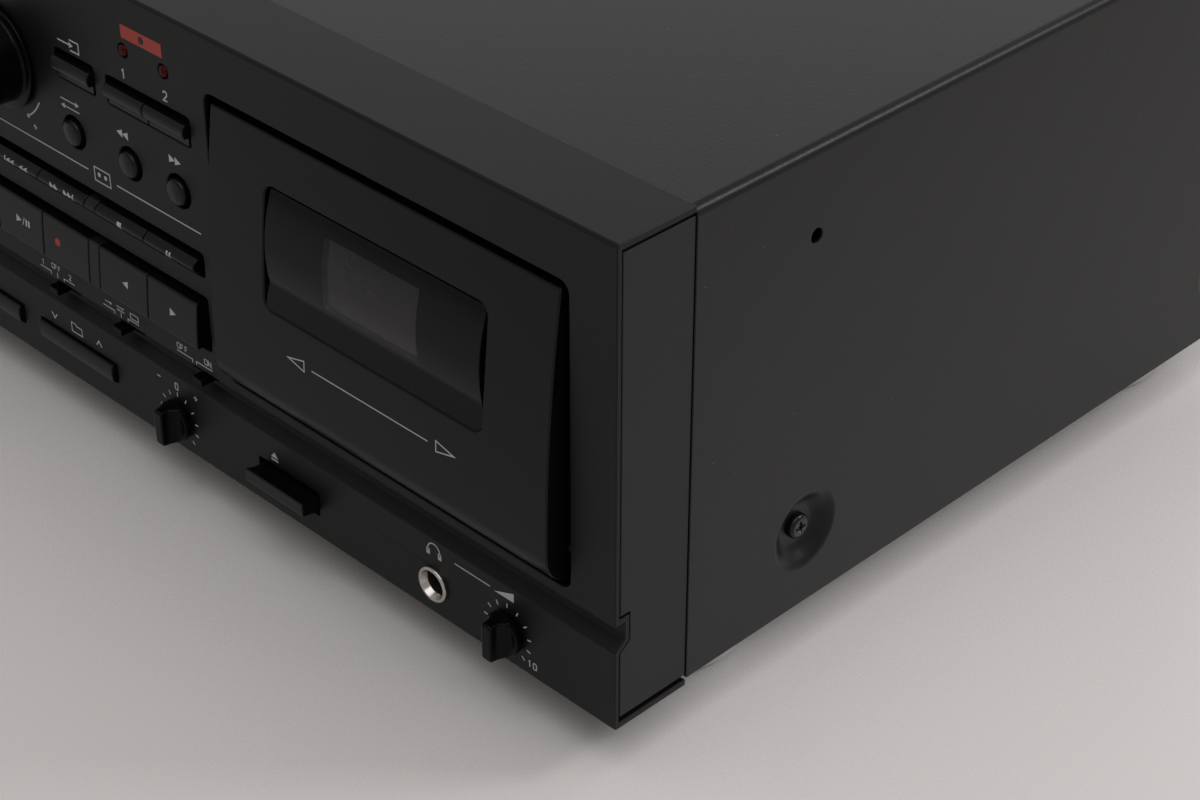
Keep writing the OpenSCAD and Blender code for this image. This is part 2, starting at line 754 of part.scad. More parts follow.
module front_subframe() color([0.16, 0.16, 0.16]) front() {
    difference() {
        union() {
            window(-right + end_t, pan_top + 0.2, right - end_t, end_top, 1, plate_y, plate_back);
            for (x = [-right + 30, tray_x1 + 12, well_x0 - 16.5, right - 30]) {
                block([x, plate_y, end_top - over], [x + 12, plate_back, panel_h - lip_t]);
                block([x, plate_y, lip_t], [x + 12, plate_back, pan_top + over]);
            }
            for (z = [board_low + 6, board_mid - 3]) for (x = [board_x0 + 26, post_x1])
                rod_y(x, z, 3, plate_back - weld, board_y);
            rod_y(board_x1 - 4, board_top - 6, 3, plate_back - weld, board_y);
            for (z = [low_cap_z - 2.2, low_cap_z + low_cap_h + 0.7])
                block([folder_x - 3, rocker_y - 2.2, z], [folder_x + 3, plate_y + weld, z + 1.5]);
        }
        for (c = all_caps) guide((c[0] + c[1]) / 2, (c[2] + c[3]) / 2, stem_w, stem_h);
        guide(eject_x, eject_z + eject_h / 2, stem_w, stem_h);
        for (s = [-1, 1]) guide(folder_x + s * rocker_arm, low_mid, arm_w + 2 * key_gap, stem_h);
        for (x = switch_xs) guide(x, slot_z, slot_w, slot_h);
        for (x = round_xs) plate_hole(x, round_row, round_stem_r);
        for (x = lamp_xs) plate_hole(x, lamp_row, lamp_r);
        plate_hole(jog_x, jog_row, jog_shaft_r + 1.5);
        for (x = [pitch_x, level_x]) plate_hole(x, knob_z, pot_r + key_gap);
        guide(phones_x, knob_z, jack_w, jack_h);
        guide(usb_x, knob_z, usb_w, usb_h);
        guide(tray_x, tray_foot + tray_open / 2, tray_w, tray_open);
        guide(tray_x, display_foot + display_open / 2, tray_w - 4, display_open - 3);
        guide(well_x, (tube_z0 + tube_top) / 2, tube_x1 - tube_x0, tube_top - tube_z0);
        rod_z(folder_x, rocker_y, rocker_pin_r + run_gap, low_z - 4, low_z + low_h + 4);
    }
    both(0) along_x(right - end_x - end_t, right - end_x) polygon(end_outline());
    key_blank(play_cap, play_face);
    key_blank(stop_cap, skip_face);
}

module display_window() color([0.1, 0.1, 0.12]) front() {
    window(tray_x0 + seat_gap, display_foot + seat_gap, tray_x1 - seat_gap,
        display_foot + display_open - seat_gap, 1.4, 2 * seat_gap, panel_t + weld);
    window(tray_x0 - frame_w, display_foot - frame_w, tray_x1 + frame_w,
        display_foot + display_open + frame_w, 1.5, panel_t, panel_t + 1.5);
}

module record_lamps() color("darkred") front() for (x = lamp_xs)
    turned(x, lamp_row, concat(arc([0, dome_r - 0.7], dome_r, 270, 270 + asin(lamp_r / dome_r), 6),
        [[lamp_r, plate_back], [lamp_pin_r, plate_back], [lamp_pin_r, board_y], [0, board_y]]));

// Headphone jack: a rolled ring with a cone that leads into the bore
module phones_jack() color("gray") front() difference() {
    union() {
        turned(phones_x, knob_z, concat([[0, -jack_lip]],
            arc([jack_r - 0.6, 0.6 - jack_lip], 0.6, 270, 360, 5),
            [[jack_r, 0], [bush_r, 0], [bush_r, panel_t + weld], [0, panel_t + weld]]));
        block([phones_x - jack_w / 2, panel_t, knob_z - jack_h / 2],
            [phones_x + jack_w / 2, jack_end, knob_z + jack_h / 2]);
    }
    turned(phones_x, knob_z, [[0, -jack_lip - over], [jack_r - 0.8, -jack_lip - over],
        [jack_r - 0.8, -jack_lip], [jack_bore / 2, jack_cone], [jack_bore / 2, bore_end], [0, bore_end]]);
}

module level_pot() color("gray") front() difference() {
    rod_y(level_x, knob_z, pot_r, panel_t, board_y - pot_y);
    rod_y(level_x, knob_z, knob_shaft_r + run_gap, 0, knob_shaft_y + 2);
}

module usb_port() color("silver") front() difference() {
    block([usb_x - usb_w / 2, key_gap, knob_z - usb_h / 2], [usb_x + usb_w / 2, board_y, knob_z + usb_h / 2]);
    difference() {
        block([usb_x - usb_w / 2 + usb_t, -over, knob_z - usb_h / 2 + usb_t],
            [usb_x + usb_w / 2 - usb_t, board_y - pot_y, knob_z + usb_h / 2 - usb_t]);
        block([usb_x - usb_w / 2 + 1.1, 4 * key_gap, knob_z + 0.2],
            [usb_x + usb_w / 2 - 1.1, board_y, knob_z + 1.5]);
    }
}

module line_jacks() color("goldenrod") front() difference() {
    union() {
        block([line_x - line_pitch, rear_y - line_depth, line_z - line_pitch],
            [line_x + line_pitch, rear_y, line_z + line_pitch]);
        at_jacks() {
            rod_y(0, 0, collar_r, rear_y - weld, body_d + collar_h);
            rod_y(0, 0, line_r, rear_y - weld, body_d + line_reach);
        }
    }
    at_jacks() rod_y(0, 0, line_bore_r, rear_y - line_depth / 2, body_d + line_reach + over);
}

module mains_inlet() color([0.1, 0.1, 0.1]) front() {
    difference() {
        union() {
            window(inlet_x - inlet_w / 2, inlet_z - inlet_h / 2, inlet_x + inlet_w / 2,
                inlet_z + inlet_h / 2, 1.8, body_d - inlet_d, body_d + weld);
            window(inlet_x - inlet_w / 2 - inlet_rim, inlet_z - inlet_h / 2 - inlet_rim,
                inlet_x + inlet_w / 2 + inlet_rim, inlet_z + inlet_h / 2 + inlet_rim,
                2, body_d, body_d + 1.5);
        }
        window(inlet_x - socket_w / 2, inlet_z - socket_h / 2, inlet_x + socket_w / 2,
            inlet_z + socket_h / 2, 4.6, body_d - socket_d, body_d + 3);
    }
    for (s = [-1, 1]) rod_y(inlet_x + s * 4.3, inlet_z, 1.2, body_d - socket_d - over, body_d - over);
}

// Boards
module on_board(x, z, w, h, y) {
    block([x - w / 2, y, z - h / 2], [x + w / 2, board_y + weld, z + h / 2]);
}
module control_board() color("darkgreen") front() difference() {
    union() {
        along_y(board_y, board_y + board_t) polygon([[board_x0, board_low], [board_x1, board_low],
            [board_x1, board_top], [board_step, board_top], [board_step, board_mid], [board_x0, board_mid]]);
        for (c = all_caps) on_board((c[0] + c[1]) / 2, (c[2] + c[3]) / 2, 6, 4.5, switch_y);
        for (x = round_xs) on_board(x, round_row, 6, 6, switch_y);
        for (s = [-1, 1]) on_board(folder_x + s * rocker_arm, low_mid, 6, 4.5, switch_y);
        for (x = switch_xs) on_board(x, slot_z, shutter_w, 6, switch_y - 1);
        on_board(tray_x, display_foot + display_open / 2, tray_w - 12, display_open - 6, flange_y + 3);
        on_board(jog_x, jog_row, 12, 12, plate_back + 1);
        rod_y(jog_x, jog_row, jog_shaft_r + 1.4, pot_y, board_y);
        rod_y(pitch_x, knob_z, pot_r, pot_y, board_y + weld);
    }
    rod_y(jog_x, jog_row, jog_shaft_r + run_gap, 0, plate_back + 2);
    rod_y(pitch_x, knob_z, knob_shaft_r + run_gap, 0, knob_shaft_y + 2);
}

// Main board: smoothing cans, chips, and a heat sink with its fins
module main_board() color("darkgreen") front() {
    main_x = (main_x0 + main_x1) / 2;
    fin_x = main_x1 - 16 - fin_w;
    block([main_x0, main_y0, main_z], [main_x1, main_y1, main_top]);
    for (i = [0 : 3]) translate([main_x0 + 2.3 * can_r + 3.1 * can_r * i, main_y1 - 20, main_top - weld])
        cylinder(r = can_r, h = can_h);
    for (i = [0 : 2]) translate([main_x - 3 + 1.5 * chip_w * i, main_y0 + 35, main_top - weld])
        cube([chip_w, chip_w, chip_h]);
    for (k = [0 : 4]) translate([fin_x, main_y1 - 50 + fin_pitch * k, main_top - weld])
        cube([fin_w, 2, fin_h]);
    translate([fin_x + 10, main_y1 - 50, main_top - weld]) cube([3, 4 * fin_pitch + 2, fin_h]);
}

// Transformer: the coil's bobbin through a laminated core on a foot plate
module on_pan(size, z) {
    translate([core_x - size[0] / 2, core_y - size[1] / 2, pan_top + z]) cube(size);
}
module power_transformer() color("gray") front() {
    on_pan(core_foot, 0);
    on_pan(core_size, core_foot[2] - weld);
    on_pan(coil_size, core_foot[2] + (core_size[2] - coil_size[2]) / 2);
}

// Keys
function cap_outline(c, face, lip) = let (
    top = face[0], foot = face[1], z1 = c[3] - cap_edge, z0 = c[2] + face[3] + cap_edge)
    concat(
        [[flange_back, c[2] - lip[0]], [flange_back, c[3] + lip[1]]],
        lip[1] > 0 ? [[flange_y, c[3] + lip[1]], [flange_y, c[3]]] : [],
        [[cap_edge - top, c[3]]],
        [for (t = [0 : 0.125 : 1]) [(top - foot) * t - top - 4 * face[2] * t * (1 - t), z1 + (z0 - z1) * t]],
        [[cap_edge - foot, z0 - cap_edge]],
        face[3] > 0 ? [[-weld, c[2] + face[3]], [-weld, c[2]]] : [],
        lip[0] > 0 ? [[flange_y, c[2]], [flange_y, c[2] - lip[0]]] : []);
module stem(x, z, w, y0, y1) {
    block([x - w / 2, y0 - weld, z - stem_h / 2], [x + w / 2, y1, z + stem_h / 2]);
}
module key(c, face, lip) {
    along_x(c[0], c[1]) polygon(cap_outline(c, face, lip));
    stem((c[0] + c[1]) / 2, (c[2] + c[3]) / 2, stem_w, flange_back, stem_y);
}
module round_key(x) turned(x, round_row, concat(
    [[0, -key_reach + 0.2], [0.45 * round_r, -key_reach + 0.3]],
    arc([round_r - 1.2, 1.7 - key_reach], 1.2, 270, 360, 6),
    [[round_r, flange_y], [round_r + 2 * round_gap, flange_y], [round_r + 2 * round_gap, flange_back],
        [round_stem_r, flange_back], [round_stem_r, stem_y], [0, stem_y]]));
module power_button() color(key_paint) front() key(power_cap, low_face, low_lip);
module source_button() color(key_paint) front() key(source_cap, pick_face, high_lip);
module usb_record_button() color(key_paint) front() key(usb_cap, pick_face, high_lip);
module tape_record_button() color(key_paint) front() key(tape_cap, pick_face, high_lip);
module mode_button() color(key_paint) front() key(mode_cap, low_face, low_lip);
module skip_back_button() color(key_paint) front() key(skip_back_cap, skip_face, high_lip);
module skip_forward_button() color(key_paint) front() key(skip_forward_cap, skip_face, high_lip);
module tape_stop_button() color(key_paint) front() key(stop_cap, skip_face, high_lip);
module tape_pause_button() color(key_paint) front() key(pause_cap, skip_face, high_lip);
module open_close_button() color(key_paint) front() key(open_cap, play_face, high_lip);
module play_pause_button() color(key_paint) front() key(play_cap, play_face, high_lip);
module record_button() color(key_paint) front() key(record_cap, play_face, high_lip);
module reverse_play_button() color(key_paint) front() key(reverse_cap, play_face, high_lip);
module forward_play_button() color(key_paint) front() key(forward_cap, play_face, high_lip);
module repeat_button() color(key_paint) front() round_key(round_xs[0]);
module rewind_button() color(key_paint) front() round_key(round_xs[1]);
module fast_forward_button() color(key_paint) front() round_key(round_xs[2]);

// Rocker: one long cap on an upright pin, with an arm to a switch at each end
module folder_rocker() color(key_paint) front() {
    c = [folder_x1 - folder_w + 0.7, folder_x1 - 0.7, low_cap_z, low_cap_z + low_cap_h];
    along_x(c[0], c[1]) polygon(cap_outline(c, low_face, [0, 0]));
    block([folder_x - 2.4, flange_back - weld, c[2] + cap_edge],
        [folder_x + 2.4, rocker_y + 1.6, c[3] - cap_edge]);
    rod_z(folder_x, rocker_y, rocker_pin_r, c[2] - 2, c[3] + 2);
    for (s = [-1, 1]) stem(folder_x + s * rocker_arm, low_mid, arm_w, flange_back, stem_y);
}

// Eject key: a hollowed finger shelf that ends in an upright lip
module eject_button() color(key_paint) front() {
    neck = [eject_z + 1.1, eject_z + 5.1];
    lip = [eject_z + 1.9, eject_z + 6];
    along_x(eject_x - eject_w / 2 + pick_gap, eject_x + eject_w / 2 - pick_gap) polygon(concat(
        [[flange_y, neck[0]], [flange_y, eject_z - over], [flange_back, eject_z - over],
            [flange_back, eject_z + eject_h + over], [flange_y, eject_z + eject_h + over],
            [flange_y, neck[1]]],
        [for (t = [0 : 0.125 : 1])
            [-(eject_reach - 0.5) * t, neck[1] + (lip[1] - neck[1]) * t - 1.8 * t * (1 - t)]],
        arc([0.5 - eject_reach, lip[1] - 0.5], 0.5, 110, 180, 3),
        arc([0.7 - eject_reach, lip[0] + 0.7], 0.7, 180, 260, 4),
        [[0, neck[0]]]));
    stem(eject_x, eject_z + eject_h / 2, stem_w, flange_back, eject_end);
}

// Slide switches: a grip in the groove, a shutter behind the wall, a stem to the board
module slide_switch(x) {
    block([x - grip_w / 2, -grip_reach, slot_z - grip_h / 2],
        [x + grip_w / 2, switch_y - 1.4, slot_z + grip_h / 2]);
    block([x - shutter_w / 2, shutter_y, slot_z - 2.6],
        [x + shutter_w / 2, shutter_y + shutter_t, slot_z + 2.2]);
}
module timer_switch() color(key_paint) front() slide_switch(switch_xs[0]);
module reverse_switch() color(key_paint) front() slide_switch(switch_xs[1]);
module noise_switch() color(key_paint) front() slide_switch(switch_xs[2] + slide_throw);

// Knobs: the jog is turned, and the small ones are turned and scooped to leave a grip bar
module jog_knob() color([0.12, 0.12, 0.12]) front()
    turned(jog_x, jog_row, concat(
        [[0, 1.4 - jog_reach], [jog_r - 5, 1.2 - jog_reach], [jog_r - 3, 0.4 - jog_reach]],
        arc([jog_r - 1.5, 1.2 - jog_reach], 1.2, 240, 360, 8),
        [[jog_r, -2.6], [jog_r + 0.25, -2], [jog_r + 0.8, -1.75], [jog_r + jog_skirt - 0.3, -1.6],
            [jog_r + jog_skirt, -1.35], [jog_r + jog_skirt, -jog_gap], [jog_shaft_r, -jog_gap],
            [jog_shaft_r, plate_back + 1.6], [0, plate_back + 1.6]]));
function scoop() = concat(
    [[grip_t / 2, -knob_reach - over]],
    arc([grip_t / 2 + blend_r, -skirt_h - blend_r], blend_r, 180, 90, 8),
    [[knob_r + over, -skirt_h], [knob_r + over, -knob_reach - over]]);
module small_knob(x) difference() {
    turned(x, knob_z, concat([[0, -knob_reach]], arc([knob_r - 1.3, 0.9 - knob_reach], 0.9, 270, 350, 4),
        arc([knob_r - 0.9, 0.9 - skirt_h], 0.9, 340, 360, 2),
        [[knob_r, -knob_gap], [knob_shaft_r, -knob_gap], [knob_shaft_r, knob_shaft_y], [0, knob_shaft_y]]));
    translate([0, 0, knob_z]) both(x) translate([x, 0, 0])
        linear_extrude(2 * knob_r + over, center = true) polygon(scoop());
}
module pitch_knob() color([0.12, 0.12, 0.12]) front() small_knob(pitch_x);
module level_knob() color([0.12, 0.12, 0.12]) front() small_knob(level_x);

// Cassette door: the face curve is tangent to the foot curve at the hinge height
function face_y(z) = face_r - door_proud - sqrt(face_r * face_r - pow(z - hinge_z, 2));
function face_curve(z1, z0, shift, n) =
    [for (i = [0 : n]) let (z = z1 + (z0 - z1) * i / n) [face_y(z) + shift, z]];
function chin(r) = arc([hinge_y, hinge_z], r, 187.5, 270, 10);
module cassette_door() color([0.13, 0.13, 0.13]) front() {
    difference() {
        along_x(door_x0, door_x1) polygon(concat([[door_back, door_top]],
            face_curve(door_top, hinge_z, 0, 16), chin(chin_r), [[door_back, hinge_z - 5]]));
        along_x(door_x0 + door_end, door_x1 - door_end) polygon(concat([[2 * chin_r, door_top - door_t]],
            face_curve(door_top - door_t, hinge_z, door_t, 16), chin(chin_r - door_t),
            [[2 * chin_r, hinge_z - chin_r + door_t]]));
        window(window_x0, window_foot, window_x1, window_top, 3, -door_proud - over, door_back - over);
    }
    for (x = [door_x0, door_x1 - door_end]) rod_x(hinge_y, hinge_z, 2 * pin_r, x, x + door_end);
    rod_x(hinge_y, hinge_z, pin_r, tube_x0 + slide_gap, door_x0 + over);
    rod_x(hinge_y, hinge_z, pin_r, door_x1 - over, tube_x1 - slide_gap);
    for (x = [well_x - 39, well_x + 37]) along_x(x, x + 2) polygon(concat(
        [[holder_y, hinge_z + 18], [holder_y, hinge_z + 4]],
        face_curve(hinge_z + 4, hinge_z + 18, door_t - 2 * weld, 4)));
    along_x(door_x0, door_x0 + damp_w) translate([hinge_y, hinge_z]) polygon(concat([[0, 0]],
        teeth(sector_teeth, damp_m, damp_a + 180 / sector_teeth, -4, 2, tooth_slack)));
}

// Window: a clear pane that bulges through the door, over a flat sill, on a frame behind the door
function lens_y(z) = face_y(z) - lens_out + lens_sag * pow((z - lens_mid) / lens_half, 2);
function lens_curve(z1, z0, shift, n) =
    [for (i = [0 : n]) let (z = z1 + (z0 - z1) * i / n) [lens_y(z) + shift, z]];
module door_window() color([0.3, 0.3, 0.33]) front() {
    pane_x0 = window_x0 + lens_gap;
    pane_x1 = window_x1 - lens_gap;
    frame_y = door_t + seat_gap;
    sill_z = window_foot + seat_gap;
    wall_z = lens_top - lens_t;
    along_x(pane_x0, pane_x1) polygon(concat(
        lens_curve(lens_top, crease_z, 0, 16), lens_curve(crease_z, lens_top, lens_t, 16)));
    for (x = [pane_x0, pane_x1 - lens_t]) along_x(x, x + lens_t) polygon(concat(
        lens_curve(lens_top, crease_z, weld, 16), face_curve(crease_z, lens_top, frame_y + weld, 16)));
    along_x(pane_x0, pane_x1) polygon(concat(
        lens_curve(lens_top, wall_z, weld, 3), face_curve(wall_z, lens_top, frame_y + weld, 3)));
    intersection() {
        along_x(window_x0, window_x1) polygon([
            [lens_y(crease_z), crease_z], [face_y(sill_z) + 0.25, sill_z],
            [face_y(sill_z) + frame_y + weld, sill_z], [face_y(crease_z) + frame_y + weld, crease_z]]);
        window(window_x0 + seat_gap, sill_z, window_x1 - seat_gap, window_top, 3 - seat_gap,
            -door_proud - over, holder_y);
    }
    difference() {
        along_x(window_x0 - frame_w, window_x1 + frame_w) polygon(concat(
            face_curve(window_top + 2, window_foot - 2, frame_y, 8),
            face_curve(window_foot - 2, window_top + 2, door_t + 1.3, 8)));
        window(pane_x0 + lens_t, crease_z + lens_t, pane_x1 - lens_t, wall_z, 0.5, -door_proud, holder_y);
    }
}

module cassette_holder() color("silver") front() {
    difference() {
        window(holder_x0, hinge_z + 1, 2 * well_x - holder_x0, holder_top, 1, holder_y, holder_y + 1);
        window(window_x0, window_foot - 4, window_x1, window_top + 1, 2, holder_y - over, holder_y + 2);
    }
    both(well_x) {
        block([holder_x0, holder_y, holder_z0], [holder_x0 + holder_t, holder_back, holder_top]);
        block([holder_x0, holder_back - 1.2, holder_z0], [holder_x0 + holder_t + 4, holder_back, holder_top]);
        block([holder_x0, holder_y, holder_z0], [holder_x0 + 16, holder_back, holder_z0 + 1.2]);
    }
}

// Deck frame: the tube behind the door opening, with the hinge bores in its cheeks
module deck_frame() color([0.2, 0.2, 0.2]) front() difference() {
    union() {
        difference() {
            union() {
                block([tube_x0, tube_y, tube_z0], [tube_x1, deck_y, tube_top]);
                block([tube_x0 - ear_w, plate_back, tube_z0 + 6],
                    [tube_x1 + ear_w, plate_back + 1.5, tube_top + 3]);
            }
            block([tube_x0 + tube_t, tube_y - over, tube_floor],
                [tube_x1 - tube_t, deck_y + over, tube_top - tube_t]);
        }
        for (x = [tube_x0, tube_x1 - tube_t])
            block([x, panel_t + 2 * seat_gap, hinge_z - 3.6], [x + tube_t, tube_y + weld, hinge_z + 3.6]);
        rod_x(damp_y, damp_z, 5, tube_x0 + tube_t - weld, door_x0 - key_gap);
        rod_x(damp_y, damp_z, damp_pin_r, door_x0 - key_gap - weld, door_x0 + damp_w + key_gap);
    }
    for (x = [tube_x0, tube_x1 - tube_t])
        rod_x(hinge_y, hinge_z, pin_r + run_gap, x - over, x + tube_t + over);
}

module door_damper() color("white") front() along_x(door_x0, door_x0 + damp_w)
    translate([damp_y, damp_z]) difference() {
        polygon(teeth(pinion_teeth, damp_m, damp_a + 180, 0, pinion_teeth - 1, tooth_slack));
        circle(r = damp_pin_r + run_gap);
    }

module deck_plate() color("silver") front() difference() {
    union() {
        window(tube_x0 + slide_gap, tube_z0 + slide_gap, tube_x1 - slide_gap, tube_top - slide_gap,
            1, deck_y, deck_y + deck_t);
        for (s = [-1, 1]) {
            rod_y(well_x + s * reel_pitch / 2, reel_z, boss_r, deck_y + weld, boss_y);
            rod_y(well_x + s * capstan_pitch / 2, capstan_z, boss_r, deck_y + weld, boss_y);
        }
    }
    for (s = [-1, 1]) {
        rod_y(well_x + s * reel_pitch / 2, reel_z, reel_r + run_gap, deck_y - over, boss_y + over);
        rod_y(well_x + s * capstan_pitch / 2, capstan_z, capstan_r + run_gap, deck_y - over, boss_y + over);
    }
}

module tape_motor() color("gray") front() {
    rod_y(well_x, motor_z, motor_r, deck_y + deck_t, motor_end);
    rod_y(well_x, motor_z, 1, motor_end - weld, fly_y + fly_t);
    rod_y(well_x, motor_z, pulley_r, fly_y + 1, fly_y + fly_t - 1);
}

// Reel hub: a finned spindle on a disc, held behind the plate by a collar
module reel(x) {
    rod_y(x, reel_z, reel_disc_r, deck_y - slide_gap - 2, deck_y - slide_gap);
    turned(x, reel_z, [[0, reel_y], [spindle_r - 2, reel_y], [spindle_r, reel_y + 2],
        [spindle_r, deck_y - 2], [0, deck_y - 2]]);
    for (a = [0 : 60 : 300]) translate([x, 0, reel_z]) rotate([0, a, 0])
        along_x(spindle_r - 1, spindle_r + 1.1) polygon([[reel_y + 2.4, -0.3], [reel_y + 2.4, 0.3],
            [reel_y + 3, 0.7], [deck_y - 1.5, 0.7], [deck_y - 1.5, -0.7], [reel_y + 3, -0.7]]);
    rod_y(x, reel_z, reel_r, deck_y - slide_gap - weld, boss_y + 2);
    rod_y(x, reel_z, 2 * reel_r, boss_y + slide_gap, boss_y + 1.3);
}
module supply_reel() color("white") front() reel(well_x - reel_pitch / 2);
module takeup_reel() color("white") front() reel(well_x + reel_pitch / 2);

module capstan(x) {
    rod_y(x, capstan_z, capstan_r, capstan_y, fly_y + fly_t + 2);
    turned(x, capstan_z, [[0, fly_y], [flywheel_r, fly_y], [flywheel_r, fly_y + 1],
        [flywheel_r - 1, fly_y + 2], [flywheel_r - 1, fly_y + fly_t - 2],
        [flywheel_r, fly_y + fly_t - 1], [flywheel_r, fly_y + fly_t], [0, fly_y + fly_t]]);
    rod_y(x, capstan_z, boss_r, boss_y + slide_gap, fly_y + weld);
}
module capstan_left() color("silver") front() capstan(well_x - capstan_pitch / 2);
module capstan_right() color("silver") front() capstan(well_x + capstan_pitch / 2);

// Head slide: the head with its round nose and two tape guides, and the pinch rollers on their pins
module head_block() color("silver") front() {
    nose_z = roller_z + 1.5;
    block([well_x - slide_w / 2, slide_y, tube_floor + 0.9],
        [well_x + slide_w / 2, deck_y - slide_gap, roller_z + roller_r - 1]);
    block([well_x - head_w / 2, head_y, roller_z - 3], [well_x + head_w / 2, slide_y + weld, nose_z]);
    intersection() {
        rod_y(well_x, nose_z, head_w / 2, head_y, slide_y + weld);
        block([well_x - head_w / 2, head_y, nose_z - weld],
            [well_x + head_w / 2, slide_y + weld, nose_z + head_w / 2]);
    }
    for (s = [-1, 1]) {
        block([well_x + s * head_w - 1, head_y + 1.5, roller_z - 2],
            [well_x + s * head_w + 1, slide_y + weld, nose_z + 3]);
        rod_y(well_x + s * capstan_pitch / 2, roller_z, roller_r, roller_y, roller_y + roller_w);
        rod_y(well_x + s * capstan_pitch / 2, roller_z, 1.5, roller_y + roller_w - weld, slide_y + weld);
    }
}

// Disc drive: the tray's dish has a step for small discs and a slot for the turntable
module disc_tray() color([0.18, 0.18, 0.18]) front() {
    difference() {
        block([tray_x - tray_half, tray_y, tray_z0], [tray_x + tray_half, tray_end, tray_z1]);
        rod_z(tray_x, disc_y, dish_r, dish_z, tray_z1 + over);
        rod_z(tray_x, disc_y, small_dish_r, dish_z - 0.8, tray_z1 + over);
        rod_z(tray_x, disc_y, slot_r, tray_z0 - over, tray_z1 + over);
        block([tray_x - slot_r, disc_y, tray_z0 - over], [tray_x + slot_r, tray_end + over, tray_z1 + over]);
    }
    translate([rack_x, gear_y + PI / 2, rack_z]) linear_extrude(tray_z0 - rack_z + weld)
        polygon(concat(rack(1, rack_teeth, tooth_slack),
            [[-1, rack_teeth * PI], [-5, rack_teeth * PI], [-5, -PI], [-1, -PI]]));
}

module tray_front() color([0.12, 0.12, 0.12]) front() {
    window(tray_x0 + key_gap, tray_foot + key_gap, tray_x1 - key_gap, tray_foot + tray_open - key_gap,
        0.6, -0.6, 2.4);
    window(tray_x - tray_half, tray_z0 - 2, tray_x + tray_half, tray_z1 + 2, 0.5, 2.4 - weld, tray_y);
}

module tray_gear() color("white") front() translate([gear_x, gear_y, 0]) difference() {
    union() {
        translate([0, 0, rack_z + 0.2]) linear_extrude(tray_z0 - rack_z - 0.5)
            polygon(teeth(gear_teeth, 1, 180, 0, gear_teeth - 1, tooth_slack));
        rod_z(0, 0, 2 * post_r, floor_top + slide_gap, rack_z + slide_gap);
    }
    rod_z(0, 0, post_r + run_gap, floor_top, tray_z1);
}

module disc_loader() color([0.22, 0.22, 0.22]) front() {
    block([tray_x - wall_x - wall_t, plate_back, floor_z], [tray_x + wall_x + wall_t, loader_end, floor_top]);
    both(tray_x) translate([tray_x + wall_x, 0, 0]) {
        block([0, plate_back, floor_z], [wall_t, loader_end, loader_top]);
        block([-rail_w, plate_back + 1, tray_z0 - 2], [weld, loader_end, tray_z0 - slide_gap]);
        block([-rail_w, plate_back + 1, tray_z1 + slide_gap], [weld, loader_end, tray_z1 + 2]);
        block([0, plate_back, floor_z], [wall_t + rail_w, plate_back + 2, loader_top]);
        block([-2 * rail_w, loader_end - 8, pan_top], [0, loader_end, floor_z + weld]);
    }
    both(tray_x) translate([tray_x + guide_x, 0, 0]) {
        rod_y(0, guide_z, guide_r, disc_y + 12, tray_end + 4);
        for (y = [disc_y + 11, tray_end + 3]) block([-2, y, floor_top - weld], [2, y + 3, guide_z + 2]);
    }
    block([tray_x - wall_x, loader_end - wall_t, floor_z], [tray_x + wall_x, loader_end, loader_top]);
    rod_z(gear_x, gear_y, post_r, floor_top - weld, tray_z0 - 0.5);
    difference() {
        rod_z(tray_x, disc_y, motor_case_r, floor_top - weld, spin_top);
        rod_z(tray_x, disc_y, spin_r + run_gap, floor_top + 1, spin_top + over);
    }
}

module disc_turntable() color("silver") front() {
    rod_z(tray_x, disc_y, spin_r, floor_top + 1.5, dish_z);
    translate([tray_x, disc_y, dish_z]) rotate_extrude() polygon([[0, -1], [platter_r, -1], [platter_r, 1],
        [hub_r, 1], [hub_r, 2.3], [hub_r - 1.6, 4], [0, 4]]);
}

module laser_pickup() color("black") front() difference() {
    union() {
        block([tray_x - sled_w / 2, sled_y, floor_top + 1.5],
            [tray_x + sled_w / 2, sled_y + sled_l, floor_top + 9]);
        rod_z(tray_x, sled_y + 9, eye_r, floor_top + 9 - weld, floor_top + 11.5);
    }
    for (s = [-1, 1])
        rod_y(tray_x + s * guide_x, guide_z, guide_r + run_gap, sled_y - over, sled_y + sled_l + over);
}

base_pan();
rear_panel();
top_cover();
cover_screws();
front_panel();
front_subframe();
feet();
display_window();
record_lamps();
phones_jack();
level_pot();
usb_port();
line_jacks();
mains_inlet();
main_board();
control_board();
power_transformer();
deck_frame();
deck_plate();
tape_motor();
supply_reel();
takeup_reel();
capstan_left();
capstan_right();
head_block();
cassette_door();
door_window();
cassette_holder();
door_damper();
eject_button();
disc_tray();
tray_front();
tray_gear();
disc_loader();
disc_turntable();
laser_pickup();
jog_knob();
pitch_knob();
level_knob();
timer_switch();
reverse_switch();
noise_switch();
power_button();
source_button();
usb_record_button();
tape_record_button();
repeat_button();
rewind_button();
fast_forward_button();
skip_back_button();
skip_forward_button();
tape_stop_button();
tape_pause_button();
open_close_button();
play_pause_button();
record_button();
reverse_play_button();
forward_play_button();
folder_rocker();
mode_button();
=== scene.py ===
# %% [markdown]
# A full-width disc and cassette recorder, dressed in Blender.
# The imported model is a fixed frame: its pieces already have their size, place and joints.
# This lesson gives them finishes, rounds their edges, and adds the printed marks and the small
# turned pieces, all in metres and in the frame's own axes (X right, Y back, Z up).

